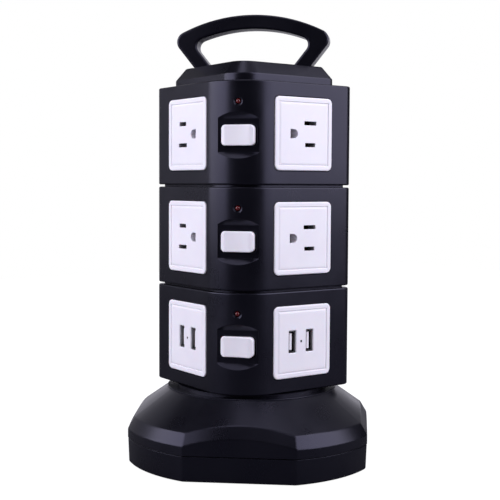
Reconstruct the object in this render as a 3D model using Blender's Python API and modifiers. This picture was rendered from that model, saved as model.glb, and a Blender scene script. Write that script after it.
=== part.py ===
"""A three-tier tower power strip: outlets on every side, a rocker switch and lamp on the front corner of each
tier, a carry handle, and a swivelling foot that winds the mains cord into a round base.

Frame: metres, +Z up, origin at the centre of the base on the ground. The tower's sides face -Y, +X, +Y
and -X. The switches are on the round corner between the -X and -Y sides, called the front corner here."""

import math

import bmesh
import bpy
from mathutils import Matrix, Vector

# ---- Tower -----------------------------------------------------------------------------------------------
TOWER_SIDE = 0.0880
BIG_CORNER_RADIUS = 0.0275
SMALL_CORNER_RADIUS = 0.0065
TIER_HEIGHT = 0.0597
TIER_GAP = 0.0013
TOWER_BOTTOM = 0.0465
WALL = 0.0024
TIER_TOP_THICKNESS = 0.0022
FLOOR_THICKNESS = 0.0022
GROOVE_DEPTH = 0.0036
CLEARANCE = 0.0003
OVERCUT = 0.0010
LEAST_RADIUS = 0.0004
FRONT_AZIMUTH = -45

# ---- Outlet and USB plates -------------------------------------------------------------------------------
PLATE_WIDTH = 0.0420
PLATE_HEIGHT = 0.0427
PLATE_CORNER = 0.0032
PLATE_PROUD = 0.0008
PLATE_RECESS = 0.0012
PLATE_OFFSET = 0.0052
PLATE_CENTRE = TIER_HEIGHT / 2 - 0.00005
PLATE_LEDGE = 0.0027
PLATE_DEPTH = 0.0065
BLADE_SPACING = 0.0127
BLADE_OFFSET = 0.0046
GROUND_OFFSET = 0.0073
SLOT_HEIGHT = 0.0023
NEUTRAL_SLOT = 0.0088
LINE_SLOT = 0.0074
GROUND_HOLE = 0.0053

USB_SPACING = 0.0128
USB_SHIFT = -0.0010
USB_SHELL_WIDTH = 0.0046
USB_SHELL_HEIGHT = 0.0126
USB_SHELL_LENGTH = 0.0135
USB_WALL = 0.0004
USB_BOARD = 0.0012
USB_BOARD_HALF = 0.0088
USB_MOUTH_BACK = 0.0035
USB_TONGUE_BACKSET = 0.0008
USB_TONGUE_LOW = 0.0010
USB_TONGUE_HIGH = 0.0028
USB_TONGUE_END = 0.0012
USB_LAMP_RADIUS = 0.0009

# ---- Switches and lamps ----------------------------------------------------------------------------------
SWITCH_CENTRE = PLATE_CENTRE - 0.0015
ROCKER_WIDTH = 0.0196
ROCKER_HEIGHT = 0.0120
POCKET_WIDTH = ROCKER_WIDTH + 0.0046
POCKET_HEIGHT = ROCKER_HEIGHT + 0.0070
POCKET_DEPTH = 0.0032
POCKET_SLOPE = 1.2
ROCKER_PROUD = 0.0024
ROCKER_DISH = 0.0007
ROCKER_PIVOT_DEPTH = 0.0042
ROCKER_CLEARANCE = 0.0008
ROCKER_REST_TILT = -7
ROCKER_SKIRT = 0.0034
ROCKER_HUB = 0.0021
ROCKER_HUB_STRETCH = 1.6
HUB_SHIFT = 0.0002
SWITCH_BODY_WIDTH = ROCKER_WIDTH - 0.0026
SWITCH_BODY_MARGIN = 0.0006
SWITCH_BODY_BACKSET = 0.0012
LAMP_CENTRE = SWITCH_CENTRE + 0.0193
LAMP_RADIUS = 0.0015
LAMP_BEVEL = 0.0009
LAMP_FLANGE_RADIUS = 0.00225
LAMP_FLANGE_FRONT = WALL + 0.0006
LAMP_FLANGE_BACK = WALL + 0.0022

# ---- Contact strips --------------------------------------------------------------------------------------
STRIP_THICKNESS = 0.0008
STRIP_WIDTH = 0.0035
STRIP_RISE = 0.0130
CLIP_WIDTH = 0.0080
CLIP_HEIGHT = 0.0050
CLIP_SLIT = 0.0018
GROUND_CLIP_WALL = 0.0010
STRIP_REACH = {"neutral": 0.0126, "line": 0.0166, "ground": 0.0210}

# ---- Cap and handle --------------------------------------------------------------------------------------
CAP_INSET = 0.0082
CAP_BIG_CORNER = 0.0150
CAP_SMALL_CORNER = 0.0045
CAP_WALL_HEIGHT = 0.0044
CAP_SLOPE_RISE = 0.0077
CAP_SLOPE_RUN = 0.0060
CAP_WALL = 0.0022
HANDLE_RISE = 0.0315
HANDLE_ARC = 0.0978
HANDLE_BAR = 0.0085
HANDLE_DEPTH = 0.0130
HANDLE_FOOT_HALF = 0.0361
HANDLE_LEAN = 0.79
HANDLE_CORNER = 0.0062
HANDLE_ROUNDING = 0.0014

# ---- Base ------------------------------------------------------------------------------------------------
BASE_RADIUS = 0.0789
BASE_FLAT = 0.0719
BASE_DRAFT = 0.0007
BASE_TWIST = 4.2
BASE_PARTING = 0.0157
BASE_WALL = 0.0024
BASE_FLOOR = 0.0030
BASE_LIFT = 0.0008
BASE_EDGE = 0.0012
CONE_RADIUS = 0.0524
CONE_TOP = 0.0438
CONE_SLOPE = 0.70
RIM_RUN = 0.0040
RIM_DROP = 0.0039
COLLAR_STEP = 0.0009
NECK_RADIUS = 0.0410
BEARING_RADIUS = NECK_RADIUS + 0.0055
NECK_WALL = 0.0080
NECK_BOTTOM = 0.0405
FOOT_RADIUS = 0.0070
FOOT_THICKNESS = 0.0020
FOOT_CIRCLE = 0.0540
CORD_HOLE_RADIUS = 0.0042
GROMMET_WALL = 0.0012
GROMMET_FLANGE = 0.0014

# ---- Reel and fasteners ----------------------------------------------------------------------------------
REEL_TOP_RADIUS = 0.0490
REEL_BOTTOM_RADIUS = 0.0580
REEL_DRUM_RADIUS = NECK_RADIUS - 0.0090
REEL_WALL = 0.0024
REEL_BOTTOM = 0.0062
SCREW_RADIUS = 0.0015
SCREW_HEAD_RADIUS = 0.0028
SCREW_HEAD_HEIGHT = 0.0016
BASE_SCREW_REACH = 0.0100
REEL_SCREW_REACH = 0.0040
HANDLE_SCREW_REACH = 0.0060
TIE_SCREW_BACKSET = 0.0045
HOLE_END = 0.0005
TIE_CIRCLE = 0.0160
WIRE_HOLE_RADIUS = 0.0080
BASE_SCREW_CIRCLE = 0.0670
BASE_SCREW_TURN = 18
BOSS_WALL = 0.0022

# ---- Sizes that follow from the ones above ---------------------------------------------------------------
TIER_NAMES = ("bottom", "middle", "top")
TIER_PITCH = TIER_HEIGHT + TIER_GAP
TOWER_TOP = TOWER_BOTTOM + 2 * TIER_PITCH + TIER_HEIGHT
HALF_SIDE = TOWER_SIDE / 2
CORNER_REACH = (HALF_SIDE - BIG_CORNER_RADIUS) * math.sqrt(2) + BIG_CORNER_RADIUS
POCKET_FLOOR = CORNER_REACH - POCKET_DEPTH
PIVOT_REACH = POCKET_FLOOR + ROCKER_PROUD - ROCKER_PIVOT_DEPTH
SCREW_HOLE = SCREW_RADIUS + CLEARANCE
HEAD_HOLE = SCREW_HEAD_RADIUS + CLEARANCE
NECK_HOLE = NECK_RADIUS + 0.0005
CAP_BOTTOM = TOWER_TOP + CLEARANCE
CAP_TOP = TOWER_TOP + CAP_WALL_HEIGHT + CAP_SLOPE_RISE
BASE_FRONT = FRONT_AZIMUTH + BASE_TWIST
REEL_TOP = NECK_BOTTOM - CLEARANCE
GROMMET_RADIUS = CORD_HOLE_RADIUS + 2 * GROMMET_WALL
CORD_HOLE_HEIGHT = BASE_LIFT + BASE_FLOOR + CLEARANCE + GROMMET_RADIUS
# Each side: its name, its outward azimuth from -Y towards +X, and which way its plate is turned.
SIDES = (("front_right", 0, 1), ("back_right", 90, -1), ("back_left", 180, 1), ("front_left", 270, -1))


# ---- Helpers ---------------------------------------------------------------------------------------------
def clear_scene():
    for obj in list(bpy.data.objects):
        bpy.data.objects.remove(obj, do_unlink=True)


def new_collection(name):
    collection = bpy.data.collections.new(name)
    bpy.context.scene.collection.children.link(collection)
    return collection


def new_material(name, colour, roughness, metallic=0.0):
    material = bpy.data.materials.new(name)
    material.use_nodes = True
    shader = material.node_tree.nodes["Principled BSDF"]
    shader.inputs["Base Color"].default_value = (*colour, 1)
    shader.inputs["Roughness"].default_value = roughness
    shader.inputs["Metallic"].default_value = metallic
    material.diffuse_color = (*colour, 1)
    return material


def direction(azimuth):
    """Unit vector in plan: azimuth 0 is -Y and 90 is +X."""
    angle = math.radians(azimuth)
    return Vector((math.sin(angle), -math.cos(angle), 0))


def add_part(name, mesh, material, location=(0, 0, 0), rotation=(0, 0, 0), smooth=True):
    obj = bpy.data.objects.new(name, mesh)
    obj.location = location
    obj.rotation_euler = rotation
    obj.data.materials.clear()
    obj.data.materials.append(material)
    if smooth:
        obj.data.shade_smooth()
        obj.data.set_sharp_from_angle(angle=math.radians(30))
    PARTS.objects.link(obj)
    return obj


def add_cutter(mesh, location=(0, 0, 0), rotation=(0, 0, 0)):
    obj = bpy.data.objects.new("cutter", mesh)
    obj.location = location
    obj.rotation_euler = rotation
    obj.hide_render = True
    obj.display_type = "WIRE"
    CUTTERS.objects.link(obj)
    return obj


def boolean(obj, tool, operation="DIFFERENCE"):
    modifier = obj.modifiers.new(operation.lower(), "BOOLEAN")
    modifier.operation = operation
    modifier.solver = "EXACT"
    modifier.object = tool
    return obj


def baked(obj):
    """The object's mesh with its modifiers worked in, for pieces that share one mesh."""
    bpy.context.view_layer.update()
    graph = bpy.context.evaluated_depsgraph_get()
    mesh = bpy.data.meshes.new_from_object(obj.evaluated_get(graph))
    return mesh


def box_mesh(low, high):
    shape = bmesh.new()
    bmesh.ops.create_cube(shape, size=1)
    size = [b - a for a, b in zip(low, high)]
    centre = [(a + b) / 2 for a, b in zip(low, high)]
    bmesh.ops.scale(shape, vec=size, verts=shape.verts)
    bmesh.ops.translate(shape, vec=centre, verts=shape.verts)
    return finished(shape)


def cylinder_mesh(radius, low, high, segments=16, top_radius=None):
    """A cylinder or cone about Z."""
    shape = bmesh.new()
    bmesh.ops.create_cone(
        shape,
        cap_ends=True,
        segments=segments,
        radius1=radius,
        radius2=radius if top_radius is None else top_radius,
        depth=high - low,
    )
    bmesh.ops.translate(shape, vec=(0, 0, (low + high) / 2), verts=shape.verts)
    return finished(shape)


def finished(shape):
    bmesh.ops.recalc_face_normals(shape, faces=shape.faces)
    mesh = bpy.data.meshes.new("shape")
    shape.to_mesh(mesh)
    shape.free()
    return mesh


def prism_mesh(outline, low, high):
    """A flat outline in X and Y, given a thickness from low to high along Z."""
    curve = bpy.data.curves.new("outline", "CURVE")
    curve.dimensions = "2D"
    curve.fill_mode = "BOTH"
    curve.extrude = (high - low) / 2
    spline = curve.splines.new("POLY")
    spline.points.add(len(outline) - 1)
    for point, (x, y) in zip(spline.points, outline):
        point.co = (x, y, 0, 1)
    spline.use_cyclic_u = True
    guide = bpy.data.objects.new("outline", curve)
    CUTTERS.objects.link(guide)
    mesh = baked(guide)
    bpy.data.objects.remove(guide, do_unlink=True)
    shape = bmesh.new()
    shape.from_mesh(mesh)
    bmesh.ops.remove_doubles(shape, verts=shape.verts, dist=1e-6)
    bmesh.ops.translate(shape, vec=(0, 0, (low + high) / 2), verts=shape.verts)
    return finished(shape)


def turned_mesh(profile, closed, steps=24):
    """A profile of (radius, height) points turned about Z: it runs down the outer side, top to bottom."""
    mesh = bpy.data.meshes.new("profile")
    edges = [(i, i + 1) for i in range(len(profile) - 1)]
    if closed:
        edges.append((len(profile) - 1, 0))
    mesh.from_pydata([(r, 0, z) for r, z in profile], edges, [])
    guide = bpy.data.objects.new("profile", mesh)
    CUTTERS.objects.link(guide)
    screw = guide.modifiers.new("turn", "SCREW")
    screw.steps = steps
    screw.render_steps = steps
    screw.use_merge_vertices = True
    screw.merge_threshold = 0.00001
    result = baked(guide)
    bpy.data.objects.remove(guide, do_unlink=True)
    shape = bmesh.new()
    shape.from_mesh(result)
    bmesh.ops.remove_doubles(shape, verts=shape.verts, dist=1e-6)
    return finished(shape)


def loft_mesh(rings, ring_shaped=False):
    """Skins rings with equal point counts; the ends are capped, or joined for a ring-shaped piece."""
    shape = bmesh.new()
    rows = [[shape.verts.new(point) for point in ring] for ring in rings]
    pairs = list(zip(rows, rows[1:]))
    if ring_shaped:
        pairs.append((rows[-1], rows[0]))
    else:
        shape.faces.new(rows[0])
        shape.faces.new(rows[-1])
    count = len(rows[0])
    for one, other in pairs:
        for i in range(count):
            j = (i + 1) % count
            shape.faces.new((one[i], one[j], other[j], other[i]))
    return finished(shape)


def moved(mesh, matrix):
    mesh.transform(matrix)
    return mesh


# ---- Outlines --------------------------------------------------------------------------------------------
def rounded_rectangle(width, height, radius, steps=3):
    points = []
    for turn, (sx, sy) in enumerate(((1, 1), (-1, 1), (-1, -1), (1, -1))):
        for step in range(steps + 1):
            angle = math.radians(90 * turn + 90 * step / steps)
            points.append(
                (
                    sx * (width / 2 - radius) + radius * math.cos(angle),
                    sy * (height / 2 - radius) + radius * math.sin(angle),
                )
            )
    return points


def tower_outline(inset=0.0, side=TOWER_SIDE, big=BIG_CORNER_RADIUS, small=SMALL_CORNER_RADIUS):
    """The square plan with two large round corners, front and back, and two small ones."""
    points = []
    for corner in range(4):
        azimuth = FRONT_AZIMUTH + 90 * corner
        radius, steps = (big, 10) if corner % 2 == 0 else (small, 4)
        radius = max(radius - inset, LEAST_RADIUS)
        centre = direction(azimuth) * (side / 2 - inset - radius) * math.sqrt(2)
        for step in range(steps + 1):
            spoke = direction(azimuth - 45 + 90 * step / steps)
            points.append((centre.x + radius * spoke.x, centre.y + radius * spoke.y))
    return points


def base_outline(inset=0.0):
    """The round plan cut by four flats, counted so that every inset of it has matching points."""
    radius = BASE_RADIUS - inset
    flat = BASE_FLAT - inset
    half = math.degrees(math.acos(flat / radius))
    points = []
    for quarter in range(4):
        middle = BASE_FRONT + 90 * quarter
        for step in range(4):
            along = math.tan(math.radians(half)) * flat * (step / 2 - 1)
            spoke = direction(middle) * flat + direction(middle + 90) * along
            points.append((spoke.x, spoke.y))
        for step in range(6):
            spoke = direction(middle + half + (90 - 2 * half) * step / 6) * radius
            points.append((spoke.x, spoke.y))
    return points


def at_height(outline, height):
    return [(x, y, height) for x, y in outline]


def cone_height(x, y):
    return CONE_TOP - CONE_SLOPE * (math.hypot(x, y) - CONE_RADIUS)


def circle_like(outline, radius, height):
    """A circle whose points lie on the same spokes as the outline's points."""
    ring = []
    for x, y in outline:
        reach = math.hypot(x, y)
        ring.append((x / reach * radius, y / reach * radius, height))
    return ring


# ---- Base ------------------------------------------------------------------------------------------------
def build_base():
    outer = base_outline()
    drafted = base_outline(BASE_DRAFT)
    edge = base_outline(BASE_DRAFT + BASE_EDGE)
    inner = base_outline(BASE_DRAFT + BASE_WALL)
    tray_top = BASE_PARTING - CLEARANCE / 2
    floor_top = BASE_LIFT + BASE_FLOOR
    tray = add_part(
        "base_tray",
        loft_mesh(
            [
                at_height(edge, BASE_LIFT),
                at_height(drafted, BASE_LIFT + BASE_EDGE),
                at_height(base_outline(BASE_DRAFT * 0.3), tray_top),
                at_height(inner, tray_top),
                at_height(inner, floor_top),
            ]
        ),
        BLACK,
    )
    cover_bottom = BASE_PARTING + CLEARANCE / 2
    rim = base_outline(RIM_RUN)
    wall = base_outline(BASE_WALL)
    rim_inner = base_outline(RIM_RUN + BASE_WALL * 0.8)
    under = BASE_WALL * 1.2
    collar_top = CONE_TOP + COLLAR_STEP
    cover = add_part(
        "base_cover",
        loft_mesh(
            [
                at_height(outer, cover_bottom),
                [(x, y, cone_height(x, y) - RIM_DROP) for x, y in outer],
                [(x, y, cone_height(x, y)) for x, y in rim],
                circle_like(rim, CONE_RADIUS, CONE_TOP),
                circle_like(rim, CONE_RADIUS, collar_top),
                circle_like(rim, BEARING_RADIUS, collar_top),
                circle_like(rim, BEARING_RADIUS, TOWER_BOTTOM - CLEARANCE),
                circle_like(rim, NECK_HOLE, TOWER_BOTTOM - CLEARANCE),
                circle_like(rim, NECK_HOLE, CONE_TOP - BASE_WALL),
                circle_like(rim, CONE_RADIUS - BASE_WALL, CONE_TOP - BASE_WALL),
                [(x, y, cone_height(x, y) - under) for x, y in rim_inner],
                [(x, y, cone_height(x, y) - RIM_DROP - under) for x, y in wall],
                at_height(wall, cover_bottom),
            ],
            ring_shaped=True,
        ),
        BLACK,
    )
    boss_bottom = floor_top + CLEARANCE
    boss_radius = SCREW_HOLE + BOSS_WALL
    for quarter, name in enumerate(("front", "right", "back", "left")):
        corner = BASE_FRONT + 45 + 90 * quarter
        spot = direction(corner + BASE_SCREW_TURN) * BASE_SCREW_CIRCLE
        boss_top = cone_height(BASE_SCREW_CIRCLE + boss_radius, 0) - under / 3
        boolean(cover, add_cutter(cylinder_mesh(boss_radius, boss_bottom, boss_top, 12), spot), "UNION")
        screw_top = boss_bottom + BASE_SCREW_REACH
        hole = cylinder_mesh(SCREW_HOLE, boss_bottom - OVERCUT, screw_top + HOLE_END, 10)
        boolean(cover, add_cutter(hole, spot))
        head_top = BASE_LIFT + SCREW_HEAD_HEIGHT
        boolean(tray, add_cutter(cylinder_mesh(HEAD_HOLE, -OVERCUT, head_top + CLEARANCE, 14), spot))
        boolean(tray, add_cutter(cylinder_mesh(SCREW_HOLE, -OVERCUT, boss_bottom, 10), spot))
        screw = turned_mesh(
            [
                (0, screw_top),
                (SCREW_RADIUS, screw_top),
                (SCREW_RADIUS, head_top),
                (SCREW_HEAD_RADIUS, head_top),
                (SCREW_HEAD_RADIUS, BASE_LIFT + CLEARANCE),
                (0, BASE_LIFT + CLEARANCE),
            ],
            False,
            10,
        )
        add_part("base_screw_" + name, screw, STEEL, spot)
        spot = direction(corner) * FOOT_CIRCLE
        well = cylinder_mesh(FOOT_RADIUS + CLEARANCE, -OVERCUT, FOOT_THICKNESS + CLEARANCE, 20)
        boolean(tray, add_cutter(well, spot))
        add_part("foot_" + name, cylinder_mesh(FOOT_RADIUS, 0, FOOT_THICKNESS, 20), RUBBER, spot)
    build_grommet((tray, cover))


def build_grommet(shells):
    """The outlet that the mains cord leaves by, held between the two shells in the round wall at the back."""
    azimuth = BASE_FRONT + 225
    barrel = CORD_HOLE_RADIUS + GROMMET_WALL
    outside = BASE_RADIUS - BASE_DRAFT
    # The flange is flat and the wall round, so its edge stays clear of the wall's inner face.
    inside = math.sqrt((BASE_RADIUS - BASE_DRAFT - BASE_WALL) ** 2 - GROMMET_RADIUS**2) - CLEARANCE
    profile = [
        (CORD_HOLE_RADIUS, outside),
        (barrel, outside),
        (barrel, inside),
        (GROMMET_RADIUS, inside),
        (GROMMET_RADIUS, inside - GROMMET_FLANGE),
        (CORD_HOLE_RADIUS, inside - GROMMET_FLANGE),
    ]
    # The bore is turned about Z, then laid along the outward direction.
    lay = Matrix.Rotation(math.radians(90), 4, "X")
    rotation = (0, 0, math.radians(azimuth))
    grommet = moved(turned_mesh(profile, True, 16), lay)
    add_part("cord_outlet", grommet, RUBBER, (0, 0, CORD_HOLE_HEIGHT), rotation)
    hole = cylinder_mesh(barrel + CLEARANCE, inside - 2 * OVERCUT, outside + 3 * OVERCUT, 16)
    hole = moved(hole, lay)
    for shell in shells:
        boolean(shell, add_cutter(hole, (0, 0, CORD_HOLE_HEIGHT), rotation))


# ---- Swivel and reel -------------------------------------------------------------------------------------
def tie_spots():
    return [direction(90 * quarter) * TIE_CIRCLE for quarter in range(4)]


def drill(obj, radius, low, high, spots, segments=12):
    for spot in spots:
        boolean(obj, add_cutter(cylinder_mesh(radius, low, high, segments), spot))


def build_swivel():
    slab = prism_mesh(tower_outline(WALL + CLEARANCE), TOWER_BOTTOM, TOWER_BOTTOM + FLOOR_THICKNESS)
    turntable = add_part("turntable", slab, BLACK)
    neck_inner = NECK_RADIUS - NECK_WALL
    neck_top = TOWER_BOTTOM + FLOOR_THICKNESS / 2
    boolean(turntable, add_cutter(cylinder_mesh(NECK_RADIUS, NECK_BOTTOM, neck_top, 40)), "UNION")
    boolean(turntable, add_cutter(cylinder_mesh(neck_inner, NECK_BOTTOM - OVERCUT, TOWER_BOTTOM, 40)))
    slab_high = TOWER_BOTTOM + FLOOR_THICKNESS + OVERCUT
    drill(turntable, WIRE_HOLE_RADIUS, TOWER_BOTTOM - OVERCUT, slab_high, [Vector()], 20)
    drill(turntable, SCREW_HOLE, TOWER_BOTTOM - OVERCUT, slab_high, tie_spots())
    screw_circle = NECK_RADIUS - NECK_WALL / 2
    spots = [direction(azimuth) * screw_circle for azimuth in (0, 180)]
    screw_top = NECK_BOTTOM + REEL_SCREW_REACH
    drill(turntable, SCREW_HOLE, NECK_BOTTOM - OVERCUT, screw_top + HOLE_END, spots)
    plate_bottom = REEL_TOP - REEL_WALL
    drum_inner = REEL_DRUM_RADIUS - REEL_WALL
    profile = [
        (REEL_TOP_RADIUS, REEL_TOP),
        (REEL_TOP_RADIUS, plate_bottom),
        (REEL_DRUM_RADIUS, plate_bottom),
        (REEL_DRUM_RADIUS, REEL_BOTTOM + REEL_WALL),
        (REEL_BOTTOM_RADIUS, REEL_BOTTOM + REEL_WALL),
        (REEL_BOTTOM_RADIUS, REEL_BOTTOM),
        (drum_inner, REEL_BOTTOM),
        (drum_inner, plate_bottom),
        (WIRE_HOLE_RADIUS, plate_bottom),
        (WIRE_HOLE_RADIUS, REEL_TOP),
    ]
    reel = add_part("cord_reel", turned_mesh(profile, True, 36), GREY)
    drill(reel, SCREW_HOLE, plate_bottom - OVERCUT, REEL_TOP + OVERCUT, spots)
    head_top = plate_bottom - CLEARANCE
    for name, spot in zip(("front", "back"), spots):
        screw = turned_mesh(
            [
                (0, screw_top),
                (SCREW_RADIUS, screw_top),
                (SCREW_RADIUS, head_top),
                (SCREW_HEAD_RADIUS, head_top),
                (SCREW_HEAD_RADIUS, head_top - SCREW_HEAD_HEIGHT),
                (0, head_top - SCREW_HEAD_HEIGHT),
            ],
            False,
            10,
        )
        add_part("reel_screw_" + name, screw, STEEL, spot)


# ---- Tiers -----------------------------------------------------------------------------------------------
def plate_place(side_azimuth, turned, height):
    """Location and rotation of a piece drawn with its outer face at y = 0 and its outward side towards -Y."""
    across = direction(side_azimuth + 90)
    spot = direction(side_azimuth) * HALF_SIDE + across * (turned * PLATE_OFFSET)
    spot.z = height
    flip = 0 if turned > 0 else math.pi
    return spot, (0, flip, math.radians(side_azimuth))


def upright_prism(outline, outward_low, outward_high):
    """A prism whose outline lies in X and Z, with its thickness along Y; larger depths lie further inward."""
    mesh = prism_mesh(outline, -outward_high, -outward_low)
    return moved(mesh, Matrix.Rotation(math.radians(90), 4, "X"))


def window_meshes():
    gap = 2 * CLEARANCE
    recess = upright_prism(
        rounded_rectangle(PLATE_WIDTH + gap, PLATE_HEIGHT + gap, PLATE_CORNER + CLEARANCE),
        -2 * OVERCUT,
        PLATE_RECESS,
    )
    opening = upright_prism(
        rounded_rectangle(
            PLATE_WIDTH - 2 * PLATE_LEDGE + gap,
            PLATE_HEIGHT - 2 * PLATE_LEDGE + gap,
            PLATE_CORNER * 0.6 + CLEARANCE,
            2,
        ),
        0,
        WALL + 2 * OVERCUT,
    )
    return recess, opening


def build_housing(tier):
    low = TOWER_BOTTOM + tier * TIER_PITCH
    high = low + TIER_HEIGHT
    name = TIER_NAMES[tier]
    housing = add_part(name + "_housing", prism_mesh(tower_outline(), low, high), BLACK)
    # The hollow stops short of the front corner, which leaves the wall of the switch pocket.
    hollow = add_cutter(prism_mesh(tower_outline(WALL), low - OVERCUT, high - TIER_TOP_THICKNESS))
    turn = (0, 0, math.radians(FRONT_AZIMUTH))
    switch_height = low + SWITCH_CENTRE
    half_width = POCKET_WIDTH / 2 + WALL
    half_height = POCKET_HEIGHT / 2 + POCKET_DEPTH * POCKET_SLOPE + WALL
    boss = box_mesh((-half_width, -TOWER_SIDE, -half_height), (half_width, WALL - POCKET_FLOOR, half_height))
    boolean(hollow, add_cutter(boss, (0, 0, switch_height), turn))
    boolean(housing, hollow)
    recess, opening = window_meshes()
    for _, azimuth, turned in SIDES:
        spot, rotation = plate_place(azimuth, turned, low + PLATE_CENTRE)
        boolean(housing, add_cutter(recess, spot, rotation))
        boolean(housing, add_cutter(opening, spot, rotation))
    # The pocket has upright ends and a sloping top and bottom.
    deep = POCKET_DEPTH + OVERCUT
    half = POCKET_HEIGHT / 2
    flare = half + deep * POCKET_SLOPE
    pocket = loft_mesh(
        [
            [
                (side * POCKET_WIDTH / 2, -POCKET_FLOOR, -half),
                (side * POCKET_WIDTH / 2, -POCKET_FLOOR, half),
                (side * POCKET_WIDTH / 2, -POCKET_FLOOR - deep, flare),
                (side * POCKET_WIDTH / 2, -POCKET_FLOOR - deep, -flare),
            ]
            for side in (-1, 1)
        ]
    )
    boolean(housing, add_cutter(pocket, (0, 0, switch_height), turn))
    half_width = ROCKER_WIDTH / 2 + ROCKER_CLEARANCE
    half_height = ROCKER_HEIGHT / 2 + CLEARANCE
    slot = box_mesh(
        (-half_width, -POCKET_FLOOR - OVERCUT, -half_height),
        (half_width, -POCKET_FLOOR + WALL + 2 * OVERCUT, half_height),
    )
    boolean(housing, add_cutter(slot, (0, 0, switch_height), turn))
    lay = Matrix.Rotation(math.radians(90), 4, "X")
    lamp_hole = LAMP_RADIUS + CLEARANCE
    bore = cylinder_mesh(lamp_hole, CORNER_REACH - WALL - 3 * OVERCUT, CORNER_REACH + 2 * OVERCUT, 14)
    boolean(housing, add_cutter(moved(bore, lay), (0, 0, low + LAMP_CENTRE), turn))
    funnel = cylinder_mesh(
        lamp_hole,
        CORNER_REACH - LAMP_BEVEL,
        CORNER_REACH + LAMP_BEVEL,
        14,
        lamp_hole + 2 * LAMP_BEVEL,
    )
    boolean(housing, add_cutter(moved(funnel, lay), (0, 0, low + LAMP_CENTRE), turn))
    top_low = high - TIER_TOP_THICKNESS - OVERCUT
    drill(housing, WIRE_HOLE_RADIUS, top_low, high + OVERCUT, [Vector()], 20)
    drill(housing, SCREW_HOLE, top_low, high + OVERCUT, tie_spots())
    if tier == len(TIER_NAMES) - 1:
        drill(housing, SCREW_HOLE, top_low, high + OVERCUT, handle_screw_spots())


def build_floor(tier):
    """The plate that closes a tier from below; its foot makes the groove between two tiers."""
    low = TOWER_BOTTOM + tier * TIER_PITCH
    slab = prism_mesh(tower_outline(WALL + CLEARANCE), low, low + FLOOR_THICKNESS)
    plate = add_part(TIER_NAMES[tier] + "_floor", slab, BLACK)
    foot_low = low - TIER_GAP + CLEARANCE
    foot = prism_mesh(tower_outline(GROOVE_DEPTH), foot_low, low + FLOOR_THICKNESS / 2)
    boolean(plate, add_cutter(foot), "UNION")
    slab_high = low + FLOOR_THICKNESS + OVERCUT
    drill(plate, WIRE_HOLE_RADIUS, foot_low - OVERCUT, slab_high, [Vector()], 20)
    drill(plate, SCREW_HOLE, foot_low - OVERCUT, slab_high, tie_spots())


# ---- Outlet and USB plates -------------------------------------------------------------------------------
def plate_blank():
    blank = bpy.data.objects.new(
        "blank",
        upright_prism(
            rounded_rectangle(PLATE_WIDTH, PLATE_HEIGHT, PLATE_CORNER),
            -PLATE_PROUD,
            PLATE_RECESS - CLEARANCE,
        ),
    )
    CUTTERS.objects.link(blank)
    rear = upright_prism(
        rounded_rectangle(
            PLATE_WIDTH - 2 * PLATE_LEDGE, PLATE_HEIGHT - 2 * PLATE_LEDGE, PLATE_CORNER * 0.6, 2
        ),
        0,
        PLATE_DEPTH,
    )
    boolean(blank, add_cutter(rear), "UNION")
    return blank


def through_box(width, height, x, z):
    front = -PLATE_PROUD - OVERCUT
    back = PLATE_DEPTH + OVERCUT
    return box_mesh((x - width / 2, front, z - height / 2), (x + width / 2, back, z + height / 2))


def ground_outline(size):
    """The ground hole: round towards the blades, flat on the other side."""
    radius = size / 2
    flat = -GROUND_OFFSET - radius
    points = [(flat, radius), (flat, -radius)]
    for degrees in range(180, -1, -30):
        angle = math.radians(degrees)
        points.append((radius * math.sin(angle) - GROUND_OFFSET, radius * math.cos(angle)))
    return points


def finish_plate(blank):
    mesh = baked(blank)
    bpy.data.objects.remove(blank, do_unlink=True)
    return mesh


def outlet_plate_mesh():
    blank = plate_blank()
    for width, sign in ((NEUTRAL_SLOT, 1), (LINE_SLOT, -1)):
        slot = through_box(width, SLOT_HEIGHT, BLADE_OFFSET, sign * BLADE_SPACING / 2)
        boolean(blank, add_cutter(slot))
    ground = upright_prism(ground_outline(GROUND_HOLE), -PLATE_PROUD - OVERCUT, PLATE_DEPTH + OVERCUT)
    boolean(blank, add_cutter(ground))
    return finish_plate(blank)


def usb_plate_mesh():
    blank = plate_blank()
    gap = 2 * CLEARANCE
    for x in usb_columns():
        boolean(blank, add_cutter(through_box(USB_SHELL_WIDTH + gap, USB_SHELL_HEIGHT + gap, x, 0)))
    boolean(blank, add_cutter(through_box(2 * USB_LAMP_RADIUS, 2 * USB_LAMP_RADIUS, USB_SHIFT, 0)))
    return finish_plate(blank)


def usb_columns():
    return (USB_SHIFT - USB_SPACING / 2, USB_SHIFT + USB_SPACING / 2)


def usb_module_mesh():
    """A circuit board with two upright USB ports, each a metal box open at the front with a tongue inside."""
    face = CLEARANCE
    back = face + USB_SHELL_LENGTH
    board = bpy.data.objects.new(
        "board",
        box_mesh(
            (USB_SHIFT - USB_SPACING, back - USB_WALL, -USB_BOARD_HALF),
            (USB_SHIFT + USB_SPACING, back + USB_BOARD, USB_BOARD_HALF),
        ),
    )
    CUTTERS.objects.link(board)
    half_width = USB_SHELL_WIDTH / 2
    half_height = USB_SHELL_HEIGHT / 2
    tongue_back = back - USB_MOUTH_BACK + USB_WALL
    tongue_half = half_height - USB_TONGUE_END
    for x in usb_columns():
        shell = box_mesh((x - half_width, face, -half_height), (x + half_width, back, half_height))
        boolean(board, add_cutter(shell), "UNION")
        mouth = box_mesh(
            (x - half_width + USB_WALL, face - OVERCUT, -half_height + USB_WALL),
            (x + half_width - USB_WALL, back - USB_MOUTH_BACK, half_height - USB_WALL),
        )
        boolean(board, add_cutter(mouth))
        tongue = box_mesh(
            (x - half_width + USB_TONGUE_LOW, face + USB_TONGUE_BACKSET, -tongue_half),
            (x - half_width + USB_TONGUE_HIGH, tongue_back, tongue_half),
        )
        boolean(board, add_cutter(tongue), "UNION")
    return finish_plate(board)


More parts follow.
